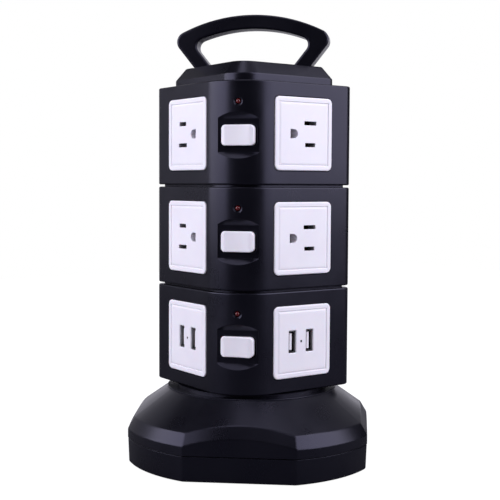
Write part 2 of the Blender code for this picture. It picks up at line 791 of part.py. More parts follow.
def build_plates():
    outlet = outlet_plate_mesh()
    usb = usb_plate_mesh()
    module = usb_module_mesh()
    for tier, tier_name in enumerate(TIER_NAMES):
        height = TOWER_BOTTOM + tier * TIER_PITCH + PLATE_CENTRE
        for side, azimuth, turned in SIDES:
            spot, rotation = plate_place(azimuth, turned, height)
            if tier == 0 and side.startswith("front"):
                add_part("usb_plate_" + side, usb, WHITE, spot, rotation)
                add_part("usb_module_" + side, module, DARK_METAL, spot, rotation)
            else:
                add_part(f"{tier_name}_outlet_{side}", outlet, WHITE, spot, rotation)


# ---- Contact strips --------------------------------------------------------------------------------------
def square_ring(half, width, height):
    outer = box_mesh((-half, -half, height - STRIP_THICKNESS / 2), (half, half, height + STRIP_THICKNESS / 2))
    ring = bpy.data.objects.new("ring", outer)
    CUTTERS.objects.link(ring)
    inner = half - width
    low = height - STRIP_THICKNESS
    high = height + STRIP_THICKNESS
    boolean(ring, add_cutter(box_mesh((-inner, -inner, low), (inner, inner, high))))
    return ring


def strip_sides(tier):
    """The sides of a tier that have mains outlets."""
    return [entry for entry in SIDES if tier > 0 or entry[0].startswith("back")]


def build_blade_strip(tier, polarity):
    """A square brass ring, and at each outlet a tab that ends in a clip behind the blade's slot."""
    centre = TOWER_BOTTOM + tier * TIER_PITCH + PLATE_CENTRE
    sign = 1 if polarity == "neutral" else -1
    half = HALF_SIDE - STRIP_REACH[polarity]
    ring = square_ring(half, STRIP_WIDTH, sign * STRIP_RISE)
    back = STRIP_REACH[polarity]
    front = PLATE_DEPTH + CLEARANCE
    slot_height = sign * BLADE_SPACING / 2
    clip_inner = BLADE_OFFSET - CLIP_WIDTH / 2
    tab_outer = clip_inner - CLEARANCE
    tab_inner = tab_outer - STRIP_WIDTH
    for _, azimuth, turned in strip_sides(tier):
        # In the side's own axes a turned plate has its slots on the other side and at the other height.
        x_values = sorted((turned * tab_inner, turned * (BLADE_OFFSET + CLIP_WIDTH / 2)))
        tab_values = sorted((turned * tab_inner, turned * tab_outer))
        clip_values = sorted((turned * clip_inner, turned * (BLADE_OFFSET + CLIP_WIDTH / 2)))
        level = turned * slot_height
        ends = sorted((sign * (STRIP_RISE + STRIP_THICKNESS / 2), level - sign * CLIP_HEIGHT / 2))
        place, _ = plate_place(azimuth, turned, 0)
        rotation = (0, 0, math.radians(azimuth))
        shapes = [
            box_mesh((tab_values[0], back, ends[0]), (tab_values[1], back + STRIP_THICKNESS, ends[1])),
            box_mesh(
                (x_values[0], back, level - CLIP_HEIGHT / 2),
                (x_values[1], back + STRIP_THICKNESS, level + CLIP_HEIGHT / 2),
            ),
            box_mesh(
                (clip_values[0], front, level - CLIP_HEIGHT / 2),
                (clip_values[1], back + STRIP_THICKNESS / 2, level + CLIP_HEIGHT / 2),
            ),
        ]
        for shape in shapes:
            boolean(ring, add_cutter(shape, place, rotation), "UNION")
        slit = box_mesh(
            (clip_values[0] - OVERCUT, front - OVERCUT, level - CLIP_SLIT / 2),
            (clip_values[1] + OVERCUT, back - STRIP_THICKNESS, level + CLIP_SLIT / 2),
        )
        boolean(ring, add_cutter(slit, place, rotation))
    mesh = finish_plate(ring)
    add_part(f"{TIER_NAMES[tier]}_{polarity}_strip", mesh, BRASS, (0, 0, centre), smooth=False)


def build_ground_strip(tier):
    """A square brass ring with a round socket behind each ground hole."""
    centre = TOWER_BOTTOM + tier * TIER_PITCH + PLATE_CENTRE
    back = STRIP_REACH["ground"]
    ring = square_ring(HALF_SIDE - back, STRIP_WIDTH, 0)
    front = PLATE_DEPTH + CLEARANCE
    bore = GROUND_HOLE / 2
    tube_back = back + STRIP_WIDTH * 0.6
    lay = Matrix.Rotation(math.radians(90), 4, "X")
    spread = Matrix.Translation((-GROUND_OFFSET, 0, 0))
    for _, azimuth, turned in strip_sides(tier):
        place, rotation = plate_place(azimuth, turned, 0)
        tube = moved(cylinder_mesh(bore + GROUND_CLIP_WALL, -tube_back, -front, 10), lay)
        boolean(ring, add_cutter(moved(tube, spread), place, rotation), "UNION")
        hole = moved(cylinder_mesh(bore, -back + OVERCUT, -front + OVERCUT, 10), lay)
        boolean(ring, add_cutter(moved(hole, spread), place, rotation))
    mesh = finish_plate(ring)
    add_part(f"{TIER_NAMES[tier]}_ground_strip", mesh, BRASS, (0, 0, centre), smooth=False)


# ---- Switches and lamps ----------------------------------------------------------------------------------
def rocker_mesh():
    """A button dished across its width, on a round hub at the pivot, which is the origin."""
    face = -ROCKER_PIVOT_DEPTH
    half = ROCKER_WIDTH / 2
    rim = face - ROCKER_DISH
    skirt = face + ROCKER_DISH + ROCKER_SKIRT
    outline = [(-half, skirt), (-half, rim), (0, face), (half, rim), (half, skirt)]
    for degrees in range(0, 181, 30):
        angle = math.radians(degrees)
        across = ROCKER_HUB * ROCKER_HUB_STRETCH * math.cos(angle)
        outline.append((across, ROCKER_HUB * math.sin(angle) + HUB_SHIFT))
    return prism_mesh(outline, -ROCKER_HEIGHT / 2, ROCKER_HEIGHT / 2)


def build_switches():
    front = direction(FRONT_AZIMUTH)
    turn = math.radians(FRONT_AZIMUTH)
    rocker = rocker_mesh()
    body_front = -PIVOT_REACH + ROCKER_HUB + SWITCH_BODY_BACKSET
    # The body reaches back to the corner of the ground strip.
    body_back = -(HALF_SIDE - STRIP_REACH["ground"]) * math.sqrt(2) - 2 * CLEARANCE
    body = box_mesh(
        (-SWITCH_BODY_WIDTH / 2, body_front, -ROCKER_HEIGHT / 2 - SWITCH_BODY_MARGIN),
        (SWITCH_BODY_WIDTH / 2, body_back, ROCKER_HEIGHT / 2 + SWITCH_BODY_MARGIN),
    )
    lamp = moved(
        turned_mesh(
            [
                (0, CORNER_REACH - 0.0002),
                (LAMP_RADIUS * 0.6, CORNER_REACH - 0.0006),
                (LAMP_RADIUS, CORNER_REACH - 0.0014),
                (LAMP_RADIUS, CORNER_REACH - LAMP_FLANGE_FRONT),
                (LAMP_FLANGE_RADIUS, CORNER_REACH - LAMP_FLANGE_FRONT),
                (LAMP_FLANGE_RADIUS, CORNER_REACH - LAMP_FLANGE_BACK),
                (0, CORNER_REACH - LAMP_FLANGE_BACK),
            ],
            False,
            12,
        ),
        Matrix.Rotation(math.radians(90), 4, "X"),
    )
    for tier, name in enumerate(TIER_NAMES):
        low = TOWER_BOTTOM + tier * TIER_PITCH
        height = low + SWITCH_CENTRE
        spot = front * PIVOT_REACH
        spot.z = height
        add_part(name + "_rocker", rocker, WHITE, spot, (0, 0, turn + math.radians(ROCKER_REST_TILT)))
        add_part(name + "_switch_body", body, GREY, (0, 0, height), (0, 0, turn), smooth=False)
        add_part(name + "_lamp", lamp, RED, (0, 0, low + LAMP_CENTRE), (0, 0, turn))


# ---- Cap and handle --------------------------------------------------------------------------------------
def cap_outline(inset):
    return tower_outline(inset, TOWER_SIDE - 2 * CAP_INSET, CAP_BIG_CORNER, CAP_SMALL_CORNER)


def handle_outline(grow=0.0, foot=0.0):
    """The handle's outline in its own plane: legs that lean out, round corners and an arched bar."""
    arc_radius = HANDLE_ARC
    centre = CAP_TOP + HANDLE_RISE - arc_radius
    lean = math.atan(HANDLE_LEAN)
    points = []
    outer = (grow, HANDLE_CORNER + grow)
    inner_line = (-HANDLE_BAR - grow, HANDLE_CORNER * 0.75 - grow)
    for offset, corner in (outer, inner_line):
        radius = arc_radius + offset
        # The leg's outer line, moved by the offset, and the corner circle that touches it and the arc.
        shift = offset / math.cos(lean)
        foot_x = HANDLE_FOOT_HALF + shift + HANDLE_LEAN * (foot - CAP_TOP)
        inner = radius - corner
        line = HANDLE_FOOT_HALF + shift - corner / math.cos(lean)
        # The corner centre lies on the line moved in by its radius, at distance inner from the arc's centre.
        a = 1 + HANDLE_LEAN**2
        b = 2 * (HANDLE_LEAN * (line - HANDLE_LEAN * CAP_TOP) - centre)
        c = (line - HANDLE_LEAN * CAP_TOP) ** 2 + centre**2 - inner**2
        corner_y = (-b + math.sqrt(b * b - 4 * a * c)) / (2 * a)
        corner_x = line + HANDLE_LEAN * (corner_y - CAP_TOP)
        start = -lean
        end = math.atan2(corner_y - centre, corner_x)
        half = [(foot_x, foot)]
        for step in range(6):
            angle = start + (end - start) * step / 5
            half.append((corner_x + corner * math.cos(angle), corner_y + corner * math.sin(angle)))
        for step in range(1, 7):
            angle = end + (math.pi / 2 - end) * step / 6
            half.append((radius * math.cos(angle), centre + radius * math.sin(angle)))
        whole = half + [(-x, y) for x, y in reversed(half[:-1])]
        points += whole if offset >= 0 else whole[::-1]
    return points


def handle_screw_spots():
    """The middle of each leg's foot, where it stands on the top tier."""
    along = HANDLE_FOOT_HALF - HANDLE_LEAN * (CAP_TOP - CAP_BOTTOM) - HANDLE_BAR * 0.36
    return [direction(FRONT_AZIMUTH + 90) * (along * side) for side in (-1, 1)]


def build_top():
    wall_top = TOWER_TOP + CAP_WALL_HEIGHT
    cap = add_part(
        "top_cap",
        loft_mesh(
            [
                at_height(cap_outline(CAP_WALL + CAP_SLOPE_RUN), CAP_TOP - CAP_WALL),
                at_height(cap_outline(CAP_WALL), wall_top - CAP_WALL * 0.4),
                at_height(cap_outline(CAP_WALL), CAP_BOTTOM),
                at_height(cap_outline(0), CAP_BOTTOM),
                at_height(cap_outline(0), wall_top),
                at_height(cap_outline(CAP_SLOPE_RUN), CAP_TOP),
            ]
        ),
        BLACK,
    )
    turn = math.radians(FRONT_AZIMUTH)
    lay = Matrix.Rotation(math.radians(90), 4, "X")
    boss_radius = SCREW_HOLE + BOSS_WALL
    for spot in tie_spots():
        boolean(
            cap,
            add_cutter(cylinder_mesh(boss_radius, CAP_BOTTOM, CAP_TOP - CAP_WALL / 2, 12), spot),
            "UNION",
        )
        hole = cylinder_mesh(SCREW_HOLE, CAP_BOTTOM - OVERCUT, CAP_TOP - TIE_SCREW_BACKSET + HOLE_END, 10)
        boolean(cap, add_cutter(hole, spot))
    foot = CAP_BOTTOM
    half = HANDLE_DEPTH / 2
    opening = prism_mesh(handle_outline(CLEARANCE, foot - OVERCUT), -half - CLEARANCE, half + CLEARANCE)
    boolean(cap, add_cutter(moved(opening, lay), (0, 0, 0), (0, 0, turn)))
    bar = moved(prism_mesh(handle_outline(0, foot), -half, half), lay)
    handle = add_part("carry_handle", bar, BLACK, (0, 0, 0), (0, 0, turn))
    bevel = handle.modifiers.new("rounding", "BEVEL")
    bevel.width = HANDLE_ROUNDING
    bevel.segments = 2
    bevel.limit_method = "ANGLE"
    bevel.angle_limit = math.radians(60)
    bevel.use_clamp_overlap = True
    for name, spot in zip(("left", "right"), handle_screw_spots()):
        top = CAP_BOTTOM + HANDLE_SCREW_REACH
        hole = cylinder_mesh(SCREW_HOLE, foot - OVERCUT, top + HOLE_END, 10)
        boolean(handle, add_cutter(hole, spot))
        head_top = TOWER_TOP - TIER_TOP_THICKNESS - CLEARANCE
        screw = turned_mesh(
            [
                (0, top),
                (SCREW_RADIUS, top),
                (SCREW_RADIUS, head_top),
                (SCREW_HEAD_RADIUS, head_top),
                (SCREW_HEAD_RADIUS, head_top - SCREW_HEAD_HEIGHT),
                (0, head_top - SCREW_HEAD_HEIGHT),
            ],
            False,
            10,
        )
        add_part("handle_screw_" + name, screw, STEEL, spot)
    tie_head = TOWER_BOTTOM - CLEARANCE
    for name, spot in zip(("front", "right", "back", "left"), tie_spots()):
        screw = turned_mesh(
            [
                (0, CAP_TOP - TIE_SCREW_BACKSET),
                (SCREW_RADIUS, CAP_TOP - TIE_SCREW_BACKSET),
                (SCREW_RADIUS, tie_head),
                (SCREW_HEAD_RADIUS, tie_head),
                (SCREW_HEAD_RADIUS, tie_head - SCREW_HEAD_HEIGHT),
                (0, tie_head - SCREW_HEAD_HEIGHT),
            ],
            False,
            10,
        )
        add_part("tie_screw_" + name, screw, STEEL, spot)


clear_scene()
PARTS = new_collection("power_strip_tower")
CUTTERS = new_collection("cutters")
BLACK = new_material("black_plastic", (0.012, 0.012, 0.015), 0.35)
WHITE = new_material("white_plastic", (0.83, 0.83, 0.86), 0.35)
GREY = new_material("grey_plastic", (0.10, 0.10, 0.11), 0.5)
RUBBER = new_material("black_rubber", (0.02, 0.02, 0.02), 0.8)
RED = new_material("red_lens", (0.35, 0.01, 0.01), 0.2)
STEEL = new_material("steel", (0.55, 0.55, 0.57), 0.35, 1.0)
DARK_METAL = new_material("nickel_shell", (0.30, 0.30, 0.31), 0.35, 1.0)
BRASS = new_material("brass", (0.70, 0.52, 0.22), 0.35, 1.0)

build_base()
build_swivel()
for tier_index in range(len(TIER_NAMES)):
    build_housing(tier_index)
    if tier_index > 0:
        build_floor(tier_index)
    build_blade_strip(tier_index, "neutral")
    build_blade_strip(tier_index, "line")
    build_ground_strip(tier_index)
build_plates()
build_switches()
build_top()
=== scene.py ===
import math

import bmesh
import bpy
from mathutils import Matrix, Quaternion, Vector


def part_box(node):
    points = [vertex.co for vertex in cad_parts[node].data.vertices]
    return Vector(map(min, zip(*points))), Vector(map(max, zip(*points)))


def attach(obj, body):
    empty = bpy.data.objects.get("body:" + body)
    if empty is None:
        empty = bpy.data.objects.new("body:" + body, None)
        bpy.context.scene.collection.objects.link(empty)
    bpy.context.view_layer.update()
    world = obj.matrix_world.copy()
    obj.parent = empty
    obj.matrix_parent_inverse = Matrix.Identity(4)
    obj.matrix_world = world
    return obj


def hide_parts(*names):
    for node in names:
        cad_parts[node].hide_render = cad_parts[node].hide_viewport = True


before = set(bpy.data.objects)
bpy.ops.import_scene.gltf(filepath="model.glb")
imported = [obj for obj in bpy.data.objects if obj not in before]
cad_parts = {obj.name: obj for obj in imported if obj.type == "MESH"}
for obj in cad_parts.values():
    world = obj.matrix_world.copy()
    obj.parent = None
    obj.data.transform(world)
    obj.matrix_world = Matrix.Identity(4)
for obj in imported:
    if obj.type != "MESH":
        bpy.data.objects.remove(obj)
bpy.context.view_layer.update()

mm = 0.001
identity = Matrix.Identity(4)
# Stands a piece drawn along Z out of the front, towards -Y.
layOutward = Matrix.Rotation(math.radians(90), 4, "X")

# camera, lights and floor

cameraSet = {
    "azimuth": -35.27,
    "distance": 640.5 * mm,
    "height": 168.5 * mm,
    "pitchDown": 3.612,
    "yaw": -0.128,
    "roll": 0.289,
    "lens": 74.293,
}

# Each soft box: azimuth from the camera's own, elevation, distance, width, height, spin, power in watts.
softBoxes = {
    "leftBox": (-73, 23, 0.92, 1.00, 0.80, 0, 8.2),
    "rightBox": (69, 31, 0.92, 0.94, 1.10, 0, 9.9),
    "topStrip": (0, 89.9, 0.90, 0.24, 1.15, -36, 1.7),
    "backLeftBox": (-131, 15, 1.15, 1.05, 0.90, 0, 0.9),
    "backRightBox": (150, 30, 1.15, 0.80, 0.80, 0, 0.55),
}

stageSet = {
    "lightColour": (0.92, 0.90, 1.0),
    "floorSize": 2.4,
    "floorColour": (0.09, 0.09, 0.10, 1),
    "floorGlow": 0.97,
    "fill": 0.56,
    "glossFill": 0.015,
    "backdrop": 1.0,
    "backdropFrom": 0.80,
    "backdropTo": 0.93,
}


def direction(azimuth):
    angle = math.radians(azimuth)
    return Vector((math.sin(angle), -math.cos(angle), 0))


def makeCamera():
    s = cameraSet
    data = bpy.data.cameras.new("camera")
    data.lens = s["lens"]
    data.sensor_width = 36
    data.clip_start = 0.02
    camera = bpy.data.objects.new("camera", data)
    bpy.context.scene.collection.objects.link(camera)
    spot = direction(s["azimuth"]) * s["distance"] + Vector((0, 0, s["height"]))
    pitch = math.radians(s["pitchDown"])
    level = -direction(s["azimuth"] - s["yaw"])
    forward = level * math.cos(pitch) + Vector((0, 0, -math.sin(pitch)))
    right = forward.cross(Vector((0, 0, 1))).normalized()
    up = right.cross(forward)
    roll = math.radians(s["roll"])
    rightRolled = right * math.cos(roll) + up * math.sin(roll)
    upRolled = up * math.cos(roll) - right * math.sin(roll)
    matrix = Matrix((rightRolled, upRolled, -forward)).transposed().to_4x4()
    matrix.translation = spot
    camera.matrix_world = matrix
    bpy.context.scene.camera = camera


def makeLights():
    aim = Vector((0, 0, 0.13))
    for name, (azimuth, elevation, distance, width, height, spin, power) in softBoxes.items():
        data = bpy.data.lights.new(name, "AREA")
        data.shape = "RECTANGLE"
        data.size = width
        data.size_y = height
        data.energy = power
        data.color = stageSet["lightColour"]
        light = bpy.data.objects.new(name, data)
        bpy.context.scene.collection.objects.link(light)
        rise = math.radians(elevation)
        outward = direction(azimuth + cameraSet["azimuth"]) * math.cos(rise)
        outward.z = math.sin(rise)
        light.location = aim + outward * distance
        light.rotation_mode = "QUATERNION"
        facing = outward.to_track_quat("Z", "Y")
        light.rotation_quaternion = facing @ Quaternion((0, 0, 1), math.radians(spin))
        light.visible_camera = False


def makeWorld():
    # The eye sees a white sweep, gloss sees it only behind the object, and the rest of the room is dim.
    world = bpy.data.worlds.new("studio")
    bpy.context.scene.world = world
    world.use_nodes = True
    nodes = world.node_tree.nodes
    links = world.node_tree.links
    nodes.clear()
    output = nodes.new("ShaderNodeOutputWorld")
    shade = nodes.new("ShaderNodeBackground")
    path = nodes.new("ShaderNodeLightPath")
    place = nodes.new("ShaderNodeTexCoord")
    ahead = nodes.new("ShaderNodeVectorMath")
    ahead.operation = "DOT_PRODUCT"
    ahead.inputs[1].default_value = -direction(cameraSet["azimuth"])
    links.new(place.outputs["Generated"], ahead.inputs[0])
    sweep = nodes.new("ShaderNodeMapRange")
    sweep.interpolation_type = "SMOOTHSTEP"
    sweep.inputs["From Min"].default_value = stageSet["backdropFrom"]
    sweep.inputs["From Max"].default_value = stageSet["backdropTo"]
    sweep.inputs["To Min"].default_value = stageSet["glossFill"]
    sweep.inputs["To Max"].default_value = stageSet["backdrop"]
    links.new(ahead.outputs["Value"], sweep.inputs["Value"])
    strength = sweep.outputs[0]
    for seen, value in (("Is Diffuse Ray", stageSet["fill"]), ("Is Camera Ray", stageSet["backdrop"])):
        mix = nodes.new("ShaderNodeMix")
        links.new(path.outputs[seen], mix.inputs["Factor"])
        links.new(strength, mix.inputs["A"])
        mix.inputs["B"].default_value = value
        strength = mix.outputs["Result"]
    tint = nodes.new("ShaderNodeMix")
    tint.data_type = "RGBA"
    tint.inputs["A"].default_value = (*stageSet["lightColour"], 1)
    tint.inputs["B"].default_value = (1, 1, 1, 1)
    links.new(path.outputs["Is Camera Ray"], tint.inputs["Factor"])
    links.new(tint.outputs["Result"], shade.inputs["Color"])
    links.new(strength, shade.inputs["Strength"])
    links.new(shade.outputs[0], output.inputs["Surface"])


def makeFloor():
    half = stageSet["floorSize"] / 2
    mesh = bpy.data.meshes.new("floor")
    corners = [(-half, -half, 0), (half, -half, 0), (half, half, 0), (-half, half, 0)]
    mesh.from_pydata(corners, [], [(0, 1, 2, 3)])
    floor = bpy.data.objects.new("floor", mesh)
    bpy.context.scene.collection.objects.link(floor)
    material = bpy.data.materials.new("paleFloor")
    material.use_nodes = True
    tree = material.node_tree
    shader = tree.nodes["Principled BSDF"]
    shader.inputs["Base Color"].default_value = stageSet["floorColour"]
    shader.inputs["Roughness"].default_value = 0.8
    shader.inputs["Specular IOR Level"].default_value = 0.1
    shader.inputs["Emission Color"].default_value = (1, 1, 1, 1)
    # The floor glows for the eye alone, so it stays pale and throws no light up at the object.
    path = tree.nodes.new("ShaderNodeLightPath")
    glow = tree.nodes.new("ShaderNodeMath")
    glow.operation = "MULTIPLY"
    glow.inputs[1].default_value = stageSet["floorGlow"]
    tree.links.new(path.outputs["Is Camera Ray"], glow.inputs[0])
    tree.links.new(glow.outputs[0], shader.inputs["Emission Strength"])
    # From below the floor is clear.
    under = tree.nodes.new("ShaderNodeNewGeometry")
    clear = tree.nodes.new("ShaderNodeBsdfTransparent")
    mix = tree.nodes.new("ShaderNodeMixShader")
    tree.links.new(under.outputs["Backfacing"], mix.inputs[0])
    tree.links.new(shader.outputs[0], mix.inputs[1])
    tree.links.new(clear.outputs[0], mix.inputs[2])
    tree.links.new(mix.outputs[0], tree.nodes["Material Output"].inputs["Surface"])
    mesh.materials.append(material)


makeCamera()
makeLights()
makeWorld()
makeFloor()
bpy.context.scene.view_settings.view_transform = "Standard"
print("camera, soft boxes and floor ready")

# finishes


class Finish:
    # One node material: grain, orange peel, cloudy colour, rubbed edges, uneven gloss and painted shade in
    # hollows.
    def __init__(self, name, look):
        self.look = look
        self.material = bpy.data.materials.new(name)
        self.material.use_nodes = True
        self.nodes = self.material.node_tree.nodes
        self.links = self.material.node_tree.links
        self.shader = self.nodes["Principled BSDF"]
        self.coords = self.offsetCoords()
        self.build()

    def node(self, kind, **settings):
        made = self.nodes.new("ShaderNode" + kind)
        for key, value in settings.items():
            setattr(made, key, value)
        return made

    def offsetCoords(self):
        # Each object reads its own part of the pattern.
        place = self.node("TexCoord")
        info = self.node("ObjectInfo")
        shift = self.node("VectorMath", operation="SCALE")
        shift.inputs[0].default_value = (3.1, 1.7, 2.3)
        self.links.new(info.outputs["Random"], shift.inputs["Scale"])
        total = self.node("VectorMath", operation="ADD")
        self.links.new(place.outputs["Object"], total.inputs[0])
        self.links.new(shift.outputs[0], total.inputs[1])
        return total.outputs[0]

    def noise(self, scale, detail=2.0, stretch=None):
        source = self.coords
        if stretch:
            mapping = self.node("Mapping")
            mapping.inputs["Scale"].default_value = stretch
            self.links.new(source, mapping.inputs["Vector"])
            source = mapping.outputs[0]
        made = self.node("TexNoise")
        made.inputs["Scale"].default_value = scale
        made.inputs["Detail"].default_value = detail
        self.links.new(source, made.inputs["Vector"])
        return made.outputs["Fac"]

    def ramp(self, source, low, high, fromLow=0.35, fromHigh=0.65):
        made = self.node("MapRange")
        made.inputs["From Min"].default_value = fromLow
        made.inputs["From Max"].default_value = fromHigh
        made.inputs["To Min"].default_value = low
        made.inputs["To Max"].default_value = high
        self.links.new(source, made.inputs["Value"])
        return made.outputs[0]

    def mix(self, share, one, other):
        made = self.node("Mix", data_type="RGBA")
        self.links.new(share, made.inputs["Factor"])
        for value, socket in ((one, made.inputs["A"]), (other, made.inputs["B"])):
            if isinstance(value, tuple):
                socket.default_value = (*value, 1)
            else:
                self.links.new(value, socket)
        return made.outputs["Result"]

    def math(self, operation, one, other):
        made = self.node("Math", operation=operation, use_clamp=operation == "MULTIPLY")
        for value, socket in ((one, made.inputs[0]), (other, made.inputs[1])):
            if isinstance(value, (int, float)):
                socket.default_value = value
            else:
                self.links.new(value, socket)
        return made.outputs[0]

    def edgeMask(self):
        # 1 on sharp and tightly rounded edges, 0 on open faces.
        soft = self.node("Bevel", samples=4)
        soft.inputs["Radius"].default_value = self.look["edgeWidth"]
        own = self.node("NewGeometry")
        dot = self.node("VectorMath", operation="DOT_PRODUCT")
        self.links.new(soft.outputs[0], dot.inputs[0])
        self.links.new(own.outputs["Normal"], dot.inputs[1])
        return self.ramp(dot.outputs["Value"], 1.0, 0.0, 0.80, 0.995)

    def paintedShadeMask(self):
        # Painted shade from ambient occlusion: 0 deep inside slots and holes, 1 on open faces.
        made = self.node("AmbientOcclusion", samples=8)
        made.inputs["Distance"].default_value = self.look["paintedShadeReach"]
        return self.ramp(made.outputs["AO"], 0.0, 1.0, 0.20, 0.70)

    def build(self):
        look = self.look
        shader = self.shader
        cloud = self.ramp(self.noise(look.get("cloudScale", 45), 3), 0, 1)
        grain = self.noise(look.get("grainScale", 2600), 1)
        peel = self.noise(look.get("peelScale", 260), 1)
        scuffs = self.noise(look.get("scuffScale", 900), 2, look.get("scuffStretch", (1, 1, 0.08)))
        colour = self.mix(cloud, look["colour"], look["colourTwo"])
        gloss = self.ramp(cloud, look["roughness"], look["roughnessTwo"], 0, 1)
        scuffed = self.ramp(scuffs, 0, look.get("scuffGloss", 0.025), 0.55, 0.75)
        gloss = self.math("ADD", gloss, scuffed)
        if look.get("edgeWidth"):
            worn = self.math("MULTIPLY", self.edgeMask(), self.ramp(peel, 0.25, 1.0, 0.3, 0.7))
            colour = self.mix(self.math("MULTIPLY", worn, look["edgeShare"]), colour, look["edgeColour"])
            gloss = self.math("ADD", gloss, self.math("MULTIPLY", worn, look["edgeGloss"]))
        # Painted shade: colour blends to the dark shade colour in slots, holes and grooves.
        if look.get("paintedShadeReach"):
            colour = self.mix(self.paintedShadeMask(), look["paintedShadeColour"], colour)
        self.links.new(colour, shader.inputs["Base Color"])
        self.links.new(gloss, shader.inputs["Roughness"])
        shader.inputs["Metallic"].default_value = look.get("metallic", 0.0)
        shader.inputs["IOR"].default_value = look.get("ior", 1.47)
        for socket, value in look.get("sockets", {}).items():
            shader.inputs[socket].default_value = value
        fine = self.node("Bump")
        fine.inputs["Strength"].default_value = look.get("grainStrength", 0.25)
        fine.inputs["Distance"].default_value = look.get("grainDepth", 0.00002)
        self.links.new(grain, fine.inputs["Height"])
        broad = self.node("Bump")
        broad.inputs["Strength"].default_value = look.get("peelStrength", 0.12)
        broad.inputs["Distance"].default_value = look.get("peelDepth", 0.00006)
        self.links.new(peel, broad.inputs["Height"])
        self.links.new(fine.outputs[0], broad.inputs["Normal"])
        self.links.new(broad.outputs[0], shader.inputs["Normal"])


finishes = {
    "blackPlastic": {
        "colour": (0.0022, 0.0022, 0.0040),
        "colourTwo": (0.0032, 0.0032, 0.0052),
        "roughness": 0.27,
        "roughnessTwo": 0.32,
        "edgeWidth": 0.35 * mm,
        "edgeShare": 0.5,
        "edgeColour": (0.014, 0.014, 0.019),
        "edgeGloss": 0.06,
        "grainScale": 1500,
        "grainStrength": 0.10,
        "sockets": {"Specular Tint": (0.72, 0.71, 1.0, 1)},
    },
    "whitePlastic": {
        "colour": (0.84, 0.825, 0.89),
        "colourTwo": (0.87, 0.855, 0.915),
        # Painted shade in the slots, holes and grooves of the white parts.
        "paintedShadeReach": 5 * mm,
        "paintedShadeColour": (0.02, 0.02, 0.024),
        "roughness": 0.34,
        "roughnessTwo": 0.42,
        "grainStrength": 0.15,
        "edgeWidth": 0.30 * mm,
        "edgeShare": 0.5,
        "edgeColour": (0.92, 0.92, 0.94),
        "edgeGloss": -0.04,
        "sockets": {"Subsurface Weight": 0.06, "Subsurface Scale": 0.0012},
    },
    "greyPlastic": {
        "colour": (0.085, 0.085, 0.095),
        "colourTwo": (0.11, 0.11, 0.12),
        "roughness": 0.5,
        "roughnessTwo": 0.6,
    },
    "rubber": {
        "colour": (0.012, 0.012, 0.013),
        "colourTwo": (0.024, 0.024, 0.025),
        "roughness": 0.7,
        "roughnessTwo": 0.85,
        "grainScale": 3500,
        "grainStrength": 0.6,
    },
    "redLens": {
        "colour": (0.060, 0.002, 0.004),
        "colourTwo": (0.110, 0.004, 0.006),
        "roughness": 0.12,
        "roughnessTwo": 0.2,
        "cloudScale": 900,
        "sockets": {"Coat Weight": 0.6, "Coat Roughness": 0.05},
    },
    "steel": {
        "colour": (0.50, 0.50, 0.52),
        "colourTwo": (0.60, 0.60, 0.62),
        "roughness": 0.28,
        "roughnessTwo": 0.42,
        "metallic": 1.0,
        "scuffStretch": (0.1, 1, 1),
    },
    "portMetal": {
        "colour": (0.30, 0.30, 0.31),
        "colourTwo": (0.42, 0.42, 0.44),
        "roughness": 0.3,
        "roughnessTwo": 0.42,
        "metallic": 1.0,
        "scuffStretch": (1, 0.1, 1),
    },
    "brass": {
        "colour": (0.62, 0.44, 0.17),
        "colourTwo": (0.74, 0.55, 0.25),
        "roughness": 0.3,
        "roughnessTwo": 0.45,
        "metallic": 1.0,
        "scuffStretch": (1, 1, 0.1),
    },
}
materials = {name: Finish(name, look).material for name, look in finishes.items()}
print("finishes ready:", ", ".join(materials))

# mesh helpers


def meshFrom(shape):
    bmesh.ops.remove_doubles(shape, verts=shape.verts, dist=1e-7)
    bmesh.ops.recalc_face_normals(shape, faces=shape.faces)
    mesh = bpy.data.meshes.new("shape")
    shape.to_mesh(mesh)
    shape.free()
    return mesh


def loft(rings, around=False, striped=False):
    # Skins rings of equal point counts; the ends are capped, or joined where the piece is ring-shaped.
    # A striped far end is filled with quads from its upper side to its lower side, so it can curve.
    shape = bmesh.new()
    rows = [[shape.verts.new(point) for point in ring] for ring in rings]
    pairs = list(zip(rows, rows[1:]))
    if around:
        pairs.append((rows[-1], rows[0]))
    else:
        shape.faces.new(rows[0])
        if striped:
            end = rows[-1]
            for i in range(len(end) // 2 - 1):
                shape.faces.new((end[i], end[i + 1], end[-i - 2], end[-i - 1]))
        else:
            shape.faces.new(rows[-1])
    for one, other in pairs:
        for i in range(len(one)):
            j = (i + 1) % len(one)
            shape.faces.new((one[i], one[j], other[j], other[i]))
    return meshFrom(shape)


def turned(profile, steps=48, around=False):
    # Turns (radius, height) points about Z; points on the axis close the shape.
    rings = []
    for radius, height in profile:
        ring = []
        for step in range(steps):
            angle = 2 * math.pi * step / steps
            ring.append((max(radius, 1e-5) * math.cos(angle), max(radius, 1e-5) * math.sin(angle), height))
        rings.append(ring)
    return loft(rings, around)


def moved(mesh, matrix):
    mesh.transform(matrix)
    return mesh


def tool(mesh, matrix=identity):
    obj = bpy.data.objects.new("cutter", mesh)
    obj.matrix_world = matrix
    bpy.context.scene.collection.objects.link(obj)
    return obj


def carved(mesh, tools, operation="DIFFERENCE"):
    # The mesh with each tool cut from it, or joined to it, one after the other.
    obj = tool(mesh)
    for cutter in tools:
        modifier = obj.modifiers.new("cut", "BOOLEAN")
        modifier.operation = operation
        modifier.solver = "EXACT"
        modifier.object = cutter
    bpy.context.view_layer.update()
    graph = bpy.context.evaluated_depsgraph_get()
    result = bpy.data.meshes.new_from_object(obj.evaluated_get(graph))
    for used in [obj, *tools]:
        bpy.data.objects.remove(used, do_unlink=True)
    return result


